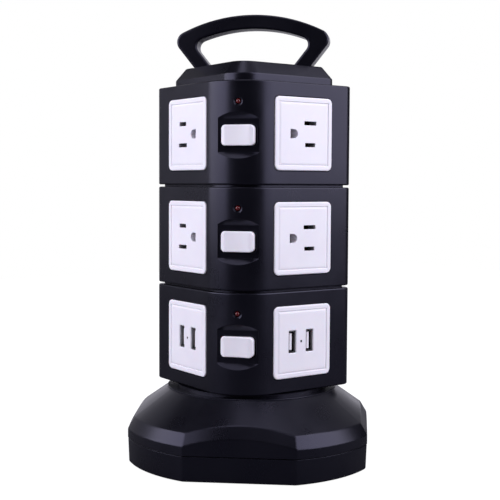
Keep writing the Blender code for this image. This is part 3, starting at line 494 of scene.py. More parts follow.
def piece(name, mesh, finish, body, matrix=identity, replaces=(), sharp=32):
    obj = bpy.data.objects.new(name, mesh)
    bpy.context.scene.collection.objects.link(obj)
    mesh.materials.clear()
    mesh.materials.append(materials[finish])
    mesh.shade_smooth()
    mesh.set_sharp_from_angle(angle=math.radians(sharp))
    weighted = obj.modifiers.new("cleanShading", "WEIGHTED_NORMAL")
    weighted.keep_sharp = True
    obj.matrix_world = matrix
    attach(obj, body)
    if replaces:
        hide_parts(*replaces)
    return obj


def rectangle(width, height, radius, steps=8, along=0):
    # A rounded rectangle as (across, up) points, with some more along its level sides.
    points = []
    for turn, (sx, sy) in enumerate(((1, 1), (-1, 1), (-1, -1), (1, -1))):
        for step in range(steps + 1):
            angle = math.radians(90 * turn + 90 * step / steps)
            across = sx * (width / 2 - radius) + radius * math.cos(angle)
            up = sy * (height / 2 - radius) + radius * math.sin(angle)
            points.append((across, up))
        for step in range(1, along + 1):
            if sx * sy > 0:
                points.append((sx * (width / 2 - radius) * (1 - 2 * step / (along + 1)), sy * height / 2))
    return points


def panel(width, height, radius, inset, depth, steps=8, along=0):
    # The same outline, inset and set at a depth; the outward side is -Y.
    corner = max(radius - inset, 0.04 * mm)
    flat = rectangle(width - 2 * inset, height - 2 * inset, corner, steps, along)
    return [(across, depth, up) for across, up in flat]


def cylinder(radius, low, high, steps=32):
    return turned([(0, low), (radius, low), (radius, high), (0, high)], steps)


# tower housings

towerSet = {
    "bigCorner": 27.5 * mm,
    "smallCorner": 6.5 * mm,
    "bigSteps": 30,
    "smallSteps": 8,
    "wall": 2.4 * mm,
    "lid": 2.2 * mm,
    "edgeRound": 0.9 * mm,
    "frontAzimuth": -45,
    "plateCentre": 29.8 * mm,
    "plateShift": 5.2 * mm,
    "floor": 2.2 * mm,
    "groove": 3.6 * mm,
    "gap": 0.3 * mm,
    "wireHole": 8.0 * mm,
    "tieCircle": 16.0 * mm,
    "screwHole": 1.8 * mm,
}
windowSet = {
    "width": 42.6 * mm,
    "height": 43.3 * mm,
    "corner": 3.5 * mm,
    "recess": 1.2 * mm,
    "ledge": 2.7 * mm,
    "lip": 0.30 * mm,
}
pocketSet = {
    "centre": 28.3 * mm,
    "halfWidth": 12.1 * mm,
    "halfHeight": 9.5 * mm,
    "depth": 3.2 * mm,
    "slope": 1.2,
    "slotHalfWidth": 10.6 * mm,
    "slotHalfHeight": 6.3 * mm,
    "slotCorner": 2.6 * mm,
    "slotDepth": 4.4 * mm,
    "lip": 0.30 * mm,
}
lampSet = {"centre": 47.6 * mm, "radius": 1.5 * mm, "gap": 0.3 * mm, "mouth": 0.7 * mm, "flare": 1.15 * mm}

tierNames = ("bottom", "middle", "top")
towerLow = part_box("bottom_housing")[0].z
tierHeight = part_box("bottom_housing")[1].z - towerLow
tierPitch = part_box("middle_housing")[0].z - towerLow
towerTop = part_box("top_housing")[1].z
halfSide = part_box("top_housing")[1].x
cornerReach = (halfSide - towerSet["bigCorner"]) * math.sqrt(2) + towerSet["bigCorner"]
pocketFloor = cornerReach - pocketSet["depth"]
frontTurn = Matrix.Rotation(math.radians(towerSet["frontAzimuth"]), 4, "Z")
# Each side: its name, the azimuth of its outward face, and which way its plate is turned.
sides = (("front_right", 0, 1), ("back_right", 90, -1), ("back_left", 180, 1), ("front_left", 270, -1))


def squarePlan(inset, half, s):
    # A square with two large round corners, front and back, and two small ones.
    points = []
    for corner in range(4):
        azimuth = towerSet["frontAzimuth"] + 90 * corner
        size = "big" if corner % 2 == 0 else "small"
        steps = s[size + "Steps"]
        radius = max(s[size + "Corner"] - inset, 0.3 * mm)
        centre = direction(azimuth) * (half - inset - radius) * math.sqrt(2)
        for step in range(steps + 1):
            spoke = direction(azimuth - 45 + 90 * step / steps)
            points.append((centre.x + radius * spoke.x, centre.y + radius * spoke.y))
    return points


def towerRing(inset, height):
    return [(x, y, height) for x, y in squarePlan(inset, halfSide, towerSet)]


def quarterRound(radius, steps=4):
    # (inset, back from the edge) pairs of a rounded edge.
    pairs = []
    for step in range(steps + 1):
        angle = math.radians(90 * step / steps)
        pairs.append((radius * (1 - math.cos(angle)), radius * (1 - math.sin(angle))))
    return pairs


def platePlace(azimuth, way, height):
    across = direction(azimuth + 90)
    spot = direction(azimuth) * halfSide + across * (way * towerSet["plateShift"])
    spot.z = height
    flip = identity if way > 0 else Matrix.Rotation(math.pi, 4, "Y")
    return Matrix.Translation(spot) @ Matrix.Rotation(math.radians(azimuth), 4, "Z") @ flip


def windowTools(height):
    s = windowSet
    found = []
    for _, azimuth, way in sides:
        place = platePlace(azimuth, way, height)
        lip = s["lip"]
        recess = loft(
            [
                panel(s["width"], s["height"], s["corner"], 0, s["recess"]),
                panel(s["width"], s["height"], s["corner"], 0, lip),
                panel(s["width"], s["height"], s["corner"], -lip, 0),
                panel(s["width"], s["height"], s["corner"], -lip - 1 * mm, -1 * mm),
            ]
        )
        opening = loft(
            [
                panel(s["width"], s["height"], s["corner"], s["ledge"], 5 * mm),
                panel(s["width"], s["height"], s["corner"], s["ledge"], -0.5 * mm),
            ]
        )
        found += [tool(recess, place), tool(opening, place)]
    return found


def pocketTools(height):
    s = pocketSet
    place = frontTurn.copy()
    place.translation = (0, 0, height)
    deep = s["depth"] + 1 * mm
    flare = s["halfHeight"] + deep * s["slope"]
    rings = []
    for side in (-1, 1):
        x = side * s["halfWidth"]
        rings.append(
            [
                (x, -pocketFloor, -s["halfHeight"]),
                (x, -pocketFloor, s["halfHeight"]),
                (x, -pocketFloor - deep, flare),
                (x, -pocketFloor - deep, -flare),
            ]
        )
    width, height = 2 * s["slotHalfWidth"], 2 * s["slotHalfHeight"]
    rows = [(0, s["slotDepth"]), (0, s["lip"]), (-s["lip"], 0), (-s["lip"], -1 * mm)]
    slot = loft([panel(width, height, s["slotCorner"], inset, depth - pocketFloor) for inset, depth in rows])
    return [tool(loft(rings), place), tool(slot, place)]


def lampTools(height):
    s = lampSet
    place = frontTurn.copy()
    place.translation = (0, 0, height)
    hole = s["radius"] + s["gap"]
    profile = [
        (0, cornerReach - 6 * mm),
        (hole, cornerReach - 6 * mm),
        (hole, cornerReach - s["mouth"]),
        (hole + s["flare"], cornerReach),
        (hole + 2 * s["flare"], cornerReach + s["mouth"]),
        (0, cornerReach + s["mouth"]),
    ]
    return [tool(moved(turned(profile, 32), layOutward), place)]


def drillTools(low, high):
    # The wire hole and the four tie screws' holes through a tier's floor or lid.
    s = towerSet
    tools = [tool(cylinder(s["wireHole"], low, high, 40))]
    for quarter in range(4):
        spot = Matrix.Translation(direction(90 * quarter) * s["tieCircle"])
        tools.append(tool(cylinder(s["screwHole"], low, high), spot))
    return tools


def floorMesh():
    # Closes a tier from below; its foot stands on the tier beneath and makes the dark groove.
    s = towerSet
    foot = tierHeight - tierPitch + 0.02 * mm
    inset = s["wall"] + s["gap"]
    rings = [
        towerRing(s["groove"], foot),
        towerRing(s["groove"], 0),
        towerRing(inset, 0),
        towerRing(inset, s["floor"]),
    ]
    return carved(loft(rings), drillTools(foot - 1 * mm, s["floor"] + 1 * mm))


def housingMesh():
    s = towerSet
    top = tierHeight
    rings = [towerRing(s["wall"], top - s["lid"]), towerRing(s["wall"], 0)]
    rounding = quarterRound(s["edgeRound"])
    rings += [towerRing(inset, back) for inset, back in reversed(rounding)]
    rings += [towerRing(inset, top - back) for inset, back in rounding]
    shell = loft(rings)
    # The walls of the switch pocket stand inside the hollow.
    p = pocketSet
    halfWidth = p["halfWidth"] + s["wall"]
    halfHeight = p["halfHeight"] + p["depth"] * p["slope"] + s["wall"]
    block = loft(
        [
            panel(2 * halfWidth, 2 * halfHeight, 0.5 * mm, 0, -pocketFloor + s["wall"]),
            panel(2 * halfWidth, 2 * halfHeight, 0.5 * mm, 0, -cornerReach - 3 * mm),
        ]
    )
    place = frontTurn.copy()
    place.translation = (0, 0, p["centre"])
    outer = loft([towerRing(0.5 * mm, 1 * mm), towerRing(0.5 * mm, top - 1 * mm)])
    block = carved(moved(block, place), [tool(outer)], "INTERSECT")
    shell = carved(shell, [tool(block)], "UNION")
    tools = windowTools(s["plateCentre"]) + pocketTools(p["centre"]) + lampTools(lampSet["centre"])
    return carved(shell, tools + drillTools(top - 4 * mm, top + 1 * mm))


def softenPocket(mesh):
    # Rounds the sharp lip of the pocket where it cuts the round corner.
    p = pocketSet
    shape = bmesh.new()
    shape.from_mesh(mesh)
    bmesh.ops.remove_doubles(shape, verts=shape.verts, dist=0.02 * mm)
    unturned = frontTurn.inverted()
    lip = []
    for edge in shape.edges:
        if len(edge.link_faces) != 2 or edge.calc_face_angle(0) < math.radians(28):
            continue
        middle = unturned @ ((edge.verts[0].co + edge.verts[1].co) / 2)
        near = abs(middle.x) < p["halfWidth"] + 0.5 * mm and abs(middle.z - p["centre"]) < 14.5 * mm
        if near and -middle.y > pocketFloor - 0.1 * mm:
            lip.append(edge)
    bmesh.ops.bevel(
        shape, geom=lip, offset=p["lip"], segments=2, profile=0.6, affect="EDGES", clamp_overlap=True
    )
    bmesh.ops.recalc_face_normals(shape, faces=shape.faces)
    shape.to_mesh(mesh)
    shape.free()
    return mesh


def makeHousings():
    master = softenPocket(housingMesh())
    for tier, name in enumerate(tierNames):
        mesh = master.copy()
        moved(mesh, Matrix.Translation((0, 0, towerLow + tier * tierPitch)))
        piece(name + "_housing_shell", mesh, "blackPlastic", "tower", replaces=[name + "_housing"])
    for tier, name in ((1, "middle"), (2, "top")):
        mesh = moved(floorMesh(), Matrix.Translation((0, 0, towerLow + tier * tierPitch)))
        piece(name + "_floor_plate", mesh, "blackPlastic", "tower", replaces=[name + "_floor"])
    print("housings ready:", len(master.polygons), "faces each")


makeHousings()

# outlet and port plates

plateSet = {
    "width": 42.0 * mm,
    "height": 42.7 * mm,
    "corner": 3.2 * mm,
    "proud": 0.8 * mm,
    "seat": 0.9 * mm,
    "rear": 6.5 * mm,
    "ledge": 2.7 * mm,
    "frame": 3.1 * mm,
    "bladeAcross": 4.6 * mm,
    "bladeSpacing": 12.7 * mm,
    "slotHeight": 2.3 * mm,
    "mouth": 0.28 * mm,
    "longSlot": 8.8 * mm,
    "shortSlot": 7.4 * mm,
    "groundAcross": -7.3 * mm,
    "groundRadius": 2.65 * mm,
}
portSet = {
    "shift": -1.0 * mm,
    "spacing": 12.8 * mm,
    "width": 4.6 * mm,
    "height": 12.6 * mm,
    "gap": 0.3 * mm,
    "mouth": 0.55 * mm,
    "sheet": 0.4 * mm,
    "front": 0.3 * mm,
    "length": 13.5 * mm,
    "lampHole": 0.75 * mm,
    "tongueWidth": 2.1 * mm,
    "tongueHeight": 10.2 * mm,
    "contactWidth": 1.1 * mm,
    "contactPitch": 2.3 * mm,
    "boardHeight": 17.6 * mm,
}


def plateBlank():
    s = plateSet
    proud = -s["proud"]
    f = s["frame"]
    rows = [
        (s["ledge"], s["rear"]),
        (s["ledge"], s["seat"]),
        (0, s["seat"]),
        (0, proud + 0.55 * mm),
        (0.07 * mm, proud + 0.32 * mm),
        (0.24 * mm, proud + 0.13 * mm),
        (0.52 * mm, proud + 0.03 * mm),
        (0.95 * mm, proud),
        (f - 0.55 * mm, proud + 0.03 * mm),
        (f - 0.38 * mm, proud + 0.09 * mm),
        (f - 0.26 * mm, proud + 0.36 * mm),
        (f - 0.10 * mm, proud + 0.44 * mm),
        (f + 0.06 * mm, proud + 0.40 * mm),
        (f + 0.80 * mm, proud + 0.18 * mm),
        (f + 1.05 * mm, proud + 0.13 * mm),
        (f + 1.60 * mm, proud + 0.12 * mm),
    ]
    return loft([panel(s["width"], s["height"], s["corner"], inset, depth) for inset, depth in rows])


def slotTool(width, height, across, up, mouth, corner=0.3 * mm):
    # A straight-sided hole with a small chamfer at its mouth.
    front = -plateSet["proud"]
    rows = [(0, 8 * mm), (0, front + mouth), (-mouth, front), (-mouth - 1 * mm, front - 1 * mm)]
    mesh = loft([panel(width, height, corner, inset, depth, 3) for inset, depth in rows])
    return tool(moved(mesh, Matrix.Translation((across, 0, up))))


def groundTool():
    s = plateSet
    front = -s["proud"]
    rows = [(0, 8 * mm), (0, front + s["mouth"]), (s["mouth"], front), (1.2 * mm, front - 1 * mm)]
    rings = []
    for grow, depth in rows:
        radius = s["groundRadius"] + grow
        ring = [(s["groundAcross"] - radius, depth, radius), (s["groundAcross"] - radius, depth, -radius)]
        for step in range(13):
            angle = math.pi * (1 - step / 12)
            ring.append((s["groundAcross"] + radius * math.sin(angle), depth, radius * math.cos(angle)))
        rings.append(ring)
    return tool(loft(rings))


def outletPlate():
    s = plateSet
    up = s["bladeSpacing"] / 2
    long = slotTool(s["longSlot"], s["slotHeight"], s["bladeAcross"], up, s["mouth"])
    short = slotTool(s["shortSlot"], s["slotHeight"], s["bladeAcross"], -up, s["mouth"])
    return carved(plateBlank(), [long, short, groundTool()])


def portColumns():
    half = portSet["spacing"] / 2
    return (portSet["shift"] - half, portSet["shift"] + half)


def portPlate():
    s = portSet
    tools = []
    for across in portColumns():
        width = s["width"] + 2 * s["gap"]
        height = s["height"] + 2 * s["gap"]
        tools.append(slotTool(width, height, across, 0, s["mouth"], 0.4 * mm))
    hole = moved(cylinder(s["lampHole"], -8 * mm, 2 * mm, 20), layOutward)
    tools.append(tool(moved(hole, Matrix.Translation((s["shift"], 0, 0)))))
    return carved(plateBlank(), tools)


def portShells():
    # Two upright tubes of bent sheet with a rolled front edge.
    s = portSet
    shape = bmesh.new()
    for across in portColumns():
        w, h, t = s["width"], s["height"], s["sheet"]
        back = s["front"] + s["length"]
        rows = [
            (0, back),
            (0, s["front"] + 0.12 * mm),
            (0.08 * mm, s["front"]),
            (t - 0.08 * mm, s["front"]),
            (t, s["front"] + 0.12 * mm),
            (t, back - 3.5 * mm),
        ]
        tube = loft([panel(w, h, 0.6 * mm, inset, depth, 4) for inset, depth in rows])
        shape.from_mesh(moved(tube, Matrix.Translation((across, 0, 0))))
    return meshFrom(shape)


def portTongues():
    # The plastic bar in each port that carries the contacts.
    s = portSet
    shape = bmesh.new()
    for across in portColumns():
        rows = [
            (0, s["front"] + s["length"] - 3.2 * mm),
            (0, s["front"] + 1.1 * mm),
            (0.25 * mm, s["front"] + 0.8 * mm),
        ]
        width, height = s["tongueWidth"], s["tongueHeight"]
        bar = loft([panel(width, height, 0.3 * mm, inset, depth, 3) for inset, depth in rows])
        shape.from_mesh(moved(bar, Matrix.Translation((across - 0.2 * mm, 0, 0))))
    return meshFrom(shape)


def portContacts():
    s = portSet
    shape = bmesh.new()
    for across in portColumns():
        for row in range(4):
            rows = [(0, s["front"] + 9 * mm), (0, s["front"] + 1.5 * mm), (0.1 * mm, s["front"] + 1.35 * mm)]
            wide = s["contactWidth"]
            strip = loft([panel(0.3 * mm, wide, 0.1 * mm, inset, depth, 2) for inset, depth in rows])
            spot = (across + 0.90 * mm, 0, (row - 1.5) * s["contactPitch"])
            shape.from_mesh(moved(strip, Matrix.Translation(spot)))
    return meshFrom(shape)


def portBoard():
    # The circuit board behind the ports, with the light pipe of the small lamp between them.
    s = portSet
    back = s["front"] + s["length"]
    width = 2 * s["spacing"]
    depths = (back + 0.02 * mm, back + 1.2 * mm)
    board = [panel(width, s["boardHeight"], 0.8 * mm, 0, depth) for depth in depths]
    shape = bmesh.new()
    shape.from_mesh(moved(loft(board), Matrix.Translation((s["shift"], 0, 0))))
    tip = [(0.6 * mm, 0.05 * mm), (0.35 * mm, 0.25 * mm), (0, 0.3 * mm)]
    pipe = turned([(0, -back), (0.6 * mm, -back), *tip], 20)
    shape.from_mesh(moved(moved(pipe, layOutward), Matrix.Translation((s["shift"], 0, 0))))
    return meshFrom(shape)


def makePlates():
    outlet = outletPlate()
    ports = portPlate()
    metal, tongues, contacts, board = portShells(), portTongues(), portContacts(), portBoard()
    for tier, tierName in enumerate(tierNames):
        height = towerLow + tier * tierPitch + towerSet["plateCentre"]
        for side, azimuth, way in sides:
            place = platePlace(azimuth, way, height)
            if tier == 0 and side.startswith("front"):
                piece("port_plate_" + side, ports, "whitePlastic", "tower", place, ["usb_plate_" + side])
                piece("port_shells_" + side, metal, "portMetal", "tower", place, ["usb_module_" + side])
                piece("port_tongues_" + side, tongues, "whitePlastic", "tower", place)
                piece("port_contacts_" + side, contacts, "brass", "tower", place)
                piece("port_board_" + side, board, "greyPlastic", "tower", place)
            else:
                name = f"{tierName}_outlet_{side}"
                piece(name + "_plate", outlet, "whitePlastic", "tower", place, [name])
    print("plates ready")


makePlates()

# switches and lamps

rockerSet = {
    "width": 19.6 * mm,
    "height": 12.0 * mm,
    "corner": 2.5 * mm,
    "pivotDepth": 4.2 * mm,
    "proud": 2.4 * mm,
    "dish": 0.7 * mm,
    "endFacet": 2.3 * mm,
    "facetDrop": 0.42,
    "edgeRound": 0.55 * mm,
    "skirt": 3.4 * mm,
    "restTilt": -7,
}
pivotReach = pocketFloor + rockerSet["proud"] - rockerSet["pivotDepth"]


def rockerMesh():
    # A dished face with a facet at each end, soft edges and a plain skirt.
    s = rockerSet
    half = s["width"] / 2
    back = -s["pivotDepth"] + s["dish"] + s["skirt"]

    def face(across):
        reach = min(abs(across), half - s["endFacet"])
        over = max(abs(across) - (half - s["endFacet"]), 0)
        return -s["pivotDepth"] - s["dish"] * (reach / (half - s["endFacet"])) ** 2 + over * s["facetDrop"]

    def outline(inset, depth):
        return panel(s["width"], s["height"], s["corner"], inset, depth, along=15)

    rings = [outline(0, back)]
    for inset, lower in quarterRound(s["edgeRound"], 5):
        rings.append([(x, face(x) + lower, z) for x, _, z in outline(inset, 0)])
    for inset in (0.9, 1.4, 2.0, 2.8, 3.6, 4.4, 5.2):
        rings.append([(x, face(x), z) for x, _, z in outline(inset * mm, 0)])
    return loft(rings, striped=True)


def lampMesh():
    s = lampSet
    tip = cornerReach + 0.15 * mm
    r = s["radius"]
    base = cornerReach - towerSet["wall"]
    back, shoulder = base - 2.2 * mm, base - 0.6 * mm
    profile = [(0, back), (1.5 * r, back), (1.5 * r, shoulder), (r, shoulder)]
    for step in range(9):
        angle = math.radians(90 * step / 8)
        profile.append((r * math.cos(angle), tip - r + r * math.sin(angle)))
    return moved(turned(profile, 36), layOutward)


def makeSwitches():
    rocker = rockerMesh()
    lamp = lampMesh()
    turn = math.radians(towerSet["frontAzimuth"] + rockerSet["restTilt"])
    for tier, name in enumerate(tierNames):
        low = towerLow + tier * tierPitch
        spot = direction(towerSet["frontAzimuth"]) * pivotReach
        spot.z = low + pocketSet["centre"]
        place = Matrix.Translation(spot) @ Matrix.Rotation(turn, 4, "Z")
        body = name + "_rocker"
        piece(body + "_button", rocker, "whitePlastic", body, place, [body], 40)
        lampPlace = frontTurn.copy()
        lampPlace.translation = (0, 0, low + lampSet["centre"])
        piece(name + "_lamp_lens", lamp, "redLens", "tower", lampPlace, [name + "_lamp"])
    print("switches and lamps ready")


makeSwitches()

# cap and carry handle

capSet = {
    "inset": 8.2 * mm,
    "bigCorner": 15.0 * mm,
    "smallCorner": 4.5 * mm,
    "wallHeight": 4.4 * mm,
    "rise": 7.7 * mm,
    "run": 6.0 * mm,
    "thickness": 2.2 * mm,
    "bigSteps": 20,
    "smallSteps": 8,
}
handleSet = {
    "rise": 31.5 * mm,
    "arc": 97.8 * mm,
    "bar": 8.5 * mm,
    "depth": 13.0 * mm,
    "footHalf": 36.1 * mm,
    "lean": 0.79,
    "corner": 6.2 * mm,
    "edgeRound": 1.5 * mm,
    "seam": 0.22 * mm,
    "pocketGap": 0.4 * mm,
}
capBottom = towerTop + 0.3 * mm
wallTop = towerTop + capSet["wallHeight"]
capTop = wallTop + capSet["rise"]


def capRing(inset, height):
    plan = squarePlan(inset, halfSide - capSet["inset"], capSet)
    return [(x, y, height) for x, y in plan]


def handlePlan(grow, foot):
    # The outline in the handle's own plane: legs that lean out, round corners and an arched bar.
    s = handleSet
    centre = capTop + s["rise"] - s["arc"]
    lean = math.atan(s["lean"])
    slope = s["lean"]
    points = []
    for offset, corner in ((grow, s["corner"] + grow), (-s["bar"] - grow, s["corner"] * 0.75 - grow)):
        radius = s["arc"] + offset
        shift = offset / math.cos(lean)
        footAcross = s["footHalf"] + shift + slope * (foot - capTop)
        inner = radius - corner
        line = s["footHalf"] + shift - corner / math.cos(lean)
        a = 1 + slope**2
        b = 2 * (slope * (line - slope * capTop) - centre)
        c = (line - slope * capTop) ** 2 + centre**2 - inner**2
        up = (-b + math.sqrt(b * b - 4 * a * c)) / (2 * a)
        across = line + slope * (up - capTop)
        end = math.atan2(up - centre, across)
        half = [(footAcross, foot)]
        for step in range(13):
            angle = -lean + (end + lean) * step / 12
            half.append((across + corner * math.cos(angle), up + corner * math.sin(angle)))
        for step in range(1, 17):
            angle = end + (math.pi / 2 - end) * step / 16
            half.append((radius * math.cos(angle), centre + radius * math.sin(angle)))
        whole = half + [(-x, y) for x, y in reversed(half[:-1])]
        points += whole if offset > -s["bar"] / 2 else whole[::-1]
    return points


def handleRing(grow, foot, depth):
    return [(x, depth, z) for x, z in handlePlan(grow, foot)]


def handleMesh():
    s = handleSet
    half = s["depth"] / 2
    rows = []
    for inset, back in reversed(quarterRound(s["edgeRound"], 5)):
        rows.append((-inset, -half + back))
    rows.append((0, -s["seam"]))
    rows.append((-s["seam"], -s["seam"] * 0.4))
    mirrored = [(grow, -depth) for grow, depth in reversed(rows)]
    return loft([handleRing(grow, capBottom, depth) for grow, depth in rows + mirrored])


def capMesh():
    s = capSet
    soft = 0.35 * mm
    slopeLength = math.hypot(s["run"], s["rise"])
    stepIn = s["run"] / slopeLength
    stepUp = s["rise"] / slopeLength
    rings = [
        capRing(s["thickness"] + s["run"], capTop - s["thickness"]),
        capRing(s["thickness"], wallTop - s["thickness"] * 0.4),
        capRing(s["thickness"], capBottom),
        capRing(0.2 * mm, capBottom),
        capRing(0, capBottom + 0.2 * mm),
        capRing(0, wallTop - 1.2 * soft),
        capRing(0.06 * mm, wallTop - 0.4 * soft),
        capRing(stepIn * soft, wallTop + stepUp * soft * 0.85),
        capRing(stepIn * 1.4 * soft, wallTop + stepUp * 1.4 * soft),
        capRing(s["run"] - stepIn * 2 * soft, capTop - stepUp * 2 * soft),
        capRing(s["run"] - stepIn * 0.5 * soft, capTop - stepUp * 0.9 * soft),
        capRing(s["run"] + 0.4 * soft, capTop - 0.1 * soft),
        capRing(s["run"] + 1.6 * soft, capTop),
    ]
    cap = loft(rings)
    half = handleSet["depth"] / 2
    gap = handleSet["pocketGap"]
    low = capBottom - 1 * mm
    pocket = loft([handleRing(gap, low, -half - gap), handleRing(gap, low, half + gap)])
    return carved(cap, [tool(moved(pocket, frontTurn))])


def makeTop():
    piece("cap_shell", capMesh(), "blackPlastic", "tower", replaces=["top_cap"], sharp=35)
    handle = moved(handleMesh(), frontTurn)
    piece("handle_bar", handle, "blackPlastic", "tower", replaces=["carry_handle"], sharp=40)
    print("cap and handle ready")


makeTop()

# base

baseSet = {
    "radius": 78.8 * mm,
    "flat": 71.9 * mm,
    "draft": 0.7 * mm,
    "twist": 4.2,
    "parting": 15.7 * mm,
    "wall": 2.4 * mm,
    "floor": 3.0 * mm,
    "lift": 0.8 * mm,
    "coneRadius": 52.4 * mm,
    "coneTop": 43.8 * mm,
    "coneSlope": 0.70,
    "rimRun": 4.0 * mm,
    "rimDrop": 3.9 * mm,
    "collar": 0.9 * mm,
    "bearing": 46.5 * mm,
    "neckHole": 41.5 * mm,
    "cornerRound": 0.8 * mm,
    "partingLip": 0.25 * mm,
    "screwCircle": 67.0 * mm,
    "screwTurn": 18,
    "footCircle": 54.0 * mm,
    "cordHole": 4.2 * mm,
    "cordRim": 1.2 * mm,
    "trayEdge": 1.2 * mm,
    "screwWell": 3.1 * mm,
    "footWell": 7.3 * mm,
}
screwSet = {"head": 2.8 * mm, "shank": 1.5 * mm, "reach": 10.3 * mm, "recess": 3.2 * mm}
footSet = {"radius": 7.0 * mm, "thickness": 2 * mm}
baseFront = towerSet["frontAzimuth"] + baseSet["twist"]
baseCorners = ("front", "right", "back", "left")


def basePlan(inset):
    # A circle cut by four flats, with the upright edges slightly rounded.
    s = baseSet
    radius = s["radius"] - inset
    flat = s["flat"] - inset
    half = math.degrees(math.acos(flat / radius))
    reach = radius * math.sin(math.radians(half))
    soft = s["cornerRound"]
    softAngle = math.degrees(soft / radius)
    points = []
    for quarter in range(4):
        middle = baseFront + 90 * quarter
        for side in (-1, 1):
            corner = direction(middle) * flat + direction(middle + 90) * (side * reach)
            onFlat = direction(middle) * flat + direction(middle + 90) * (side * (reach - soft))
            onArc = direction(middle + side * (half + softAngle)) * radius
            first, last = (onArc, onFlat) if side < 0 else (onFlat, onArc)
            for step in range(5):
                t = step / 4
                points.append(first * (1 - t) ** 2 + corner * (2 * t * (1 - t)) + last * t**2)
            if side < 0:
                for step in range(1, 10):
                    share = 2 * step / 10 - 1
                    along = share * (reach - soft)
                    points.append(direction(middle) * flat + direction(middle + 90) * along)
        for step in range(1, 16):
            angle = half + softAngle + (90 - 2 * half - 2 * softAngle) * step / 16
            points.append(direction(middle + angle) * radius)
    return [(p.x, p.y) for p in points]


def coneHeight(x, y):
    s = baseSet
    return s["coneTop"] - s["coneSlope"] * (math.hypot(x, y) - s["coneRadius"])


def levelRing(inset, height):
    return [(x, y, height) for x, y in basePlan(inset)]


def rimRing(inset, drop):
    return [(x, y, coneHeight(x, y) - drop) for x, y in basePlan(inset)]


def circleRing(radius, height):
    ring = []
    for x, y in basePlan(baseSet["rimRun"]):
        reach = math.hypot(x, y)
        ring.append((x / reach * radius, y / reach * radius, height))
    return ring


def trayMesh():
    s = baseSet
    top = s["parting"] - 0.15 * mm
    lip = s["partingLip"]
    edge = s["trayEdge"]
    rings = [
        levelRing(s["draft"] + edge, s["lift"]),
        levelRing(s["draft"] + 0.5 * edge, s["lift"] + 0.12 * edge),
        levelRing(s["draft"] + 0.12 * edge, s["lift"] + 0.5 * edge),
        levelRing(s["draft"], s["lift"] + edge),
        levelRing(s["draft"] * 0.3, top - lip),
        levelRing(s["draft"] * 0.3 + lip, top),
        levelRing(s["draft"] + s["wall"], top),
        levelRing(s["draft"] + s["wall"], s["lift"] + s["floor"]),
    ]
    return loft(rings)


def coverMesh():
    s = baseSet
    low = s["parting"] + 0.15 * mm
    lip = s["partingLip"]
    drop = s["rimDrop"]
    run = s["rimRun"]
    under = s["wall"] * 1.2
    collarTop = s["coneTop"] + s["collar"]
    bearingTop = towerLow - 0.3 * mm
    rings = [
        levelRing(lip, low),
        levelRing(0, low + lip),
        rimRing(0, drop + 0.55 * mm),
        rimRing(0.05 * mm, drop + 0.20 * mm),
        rimRing(0.20 * mm, drop - 0.08 * mm),
        rimRing(0.42 * mm, drop - 0.40 * mm),
        rimRing(run - 0.45 * mm, 0.45 * mm),
        rimRing(run - 0.12 * mm, 0.16 * mm),
        rimRing(run + 0.25 * mm, 0.02 * mm),
        rimRing(run + 0.70 * mm, 0),
        circleRing(s["coneRadius"] + 0.5 * mm, s["coneTop"] - 0.35 * mm),
        circleRing(s["coneRadius"], s["coneTop"] + 0.05 * mm),
        circleRing(s["coneRadius"], collarTop - 0.2 * mm),
        circleRing(s["coneRadius"] - 0.2 * mm, collarTop),
        circleRing(s["bearing"], collarTop),
        circleRing(s["bearing"], bearingTop),
        circleRing(s["neckHole"], bearingTop),
        circleRing(s["neckHole"], s["coneTop"] - s["wall"]),
        circleRing(s["coneRadius"] - s["wall"], s["coneTop"] - s["wall"]),
        rimRing(run + s["wall"] * 0.8, under),
        rimRing(s["wall"], drop + under),
        levelRing(s["wall"], low),
    ]
    return loft(rings, around=True)


def cordPlace():
    s = baseSet
    outer = s["cordHole"] + 2 * s["cordRim"]
    height = s["lift"] + s["floor"] + 0.3 * mm + outer
    return Matrix.Translation((0, 0, height)) @ Matrix.Rotation(math.radians(baseFront + 225), 4, "Z")


def cordOutletMesh():
    s = baseSet
    bore = s["cordHole"]
    barrel = bore + s["cordRim"]
    outer = bore + 2 * s["cordRim"]
    outside = s["radius"] - s["draft"]
    inside = math.sqrt((outside - s["wall"]) ** 2 - outer**2) - 0.3 * mm
    soft = 0.35 * mm
    profile = [
        (bore, outside - 2 * soft),
        (bore + 0.3 * soft, outside - 0.6 * soft),
        (bore + soft, outside),
        (barrel - soft, outside),
        (barrel, outside - soft),
        (barrel, inside),
        (outer, inside),
        (outer, inside - 1.4 * mm),
        (bore, inside - 1.4 * mm),
    ]
    return moved(turned(profile, 48, around=True), layOutward)


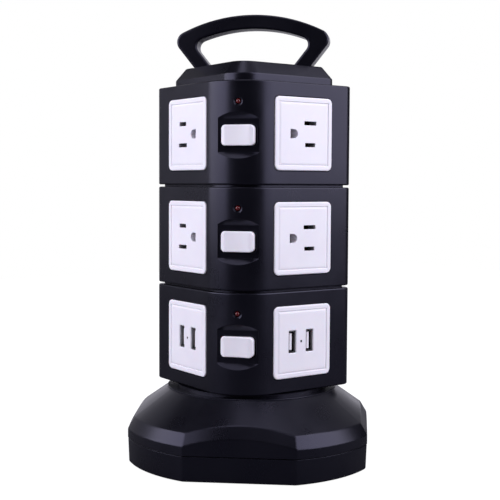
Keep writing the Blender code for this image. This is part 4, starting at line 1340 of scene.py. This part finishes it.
def screwMesh():
    # A round-head screw with a cross recess, head down.
    head = screwSet["head"]
    shank = screwSet["shank"]
    cross = screwSet["recess"]
    low = baseSet["lift"] + 0.3 * mm
    seat = baseSet["lift"] + 1.6 * mm
    top = baseSet["lift"] + baseSet["floor"] + screwSet["reach"]
    dome = [(0, low), (head * 0.6, low + 0.05 * mm), (head * 0.9, low + 0.35 * mm), (head, seat)]
    profile = [*dome, (shank, seat), (shank, top), (0, top)]
    arms = []
    for quarter in range(2):
        arm = loft(
            [
                [(x, y, low - 1 * mm) for x, y in rectangle(0.8 * mm, cross, 0.1 * mm, 1)],
                [(x, y, low + 1.0 * mm) for x, y in rectangle(0.45 * mm, cross / 2, 0.1 * mm, 1)],
            ]
        )
        arms.append(tool(moved(arm, Matrix.Rotation(math.radians(90 * quarter + 45), 4, "Z"))))
    return carved(turned(profile, 28), arms)


def footMesh():
    radius, top = footSet["radius"], footSet["thickness"]
    edge = [(radius - 0.7 * mm, 0), (radius - 0.2 * mm, 0.2 * mm), (radius, 0.6 * mm)]
    return turned([(0, 0), *edge, (radius, top), (0, top)], 40)


def makeBase():
    s = baseSet
    tray = trayMesh()
    cover = coverMesh()
    trayTools = []
    screw = screwMesh()
    foot = footMesh()
    for quarter, name in enumerate(baseCorners):
        corner = baseFront + 45 + 90 * quarter
        screwSpot = Matrix.Translation(direction(corner + s["screwTurn"]) * s["screwCircle"])
        footSpot = Matrix.Translation(direction(corner) * s["footCircle"])
        trayTools.append(tool(cylinder(s["screwWell"], -1 * mm, s["lift"] + 1.9 * mm), screwSpot))
        trayTools.append(tool(cylinder(s["footWell"], -1 * mm, 2.3 * mm, 40), footSpot))
        piece(f"base_screw_{name}_turned", screw, "steel", "base", screwSpot, ["base_screw_" + name])
        piece(f"foot_{name}_pad", foot, "rubber", "base", footSpot, ["foot_" + name])
    hole = moved(cylinder(s["cordHole"] + s["cordRim"] + 0.2 * mm, 60 * mm, 90 * mm, 48), layOutward)
    cover = carved(cover, [tool(hole.copy(), cordPlace())])
    tray = carved(tray, trayTools + [tool(hole, cordPlace())])
    piece("base_tray_shell", tray, "blackPlastic", "base", replaces=["base_tray"], sharp=24)
    piece("base_cover_shell", cover, "blackPlastic", "base", replaces=["base_cover"], sharp=24)
    piece("cord_outlet_bush", cordOutletMesh(), "rubber", "base", cordPlace(), ["cord_outlet"])
    print("base ready")


makeBase()

# the pieces that keep their own shape take a finish here

keptFinishes = (
    ("_strip", "brass"),
    ("_switch_body", "greyPlastic"),
    ("cord_reel", "greyPlastic"),
    ("turntable", "blackPlastic"),
    ("_screw_", "steel"),
)
for name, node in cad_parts.items():
    if node.hide_render:
        continue
    finish = next(found for ending, found in keptFinishes if ending in name)
    node.data.materials.clear()
    node.data.materials.append(materials[finish])
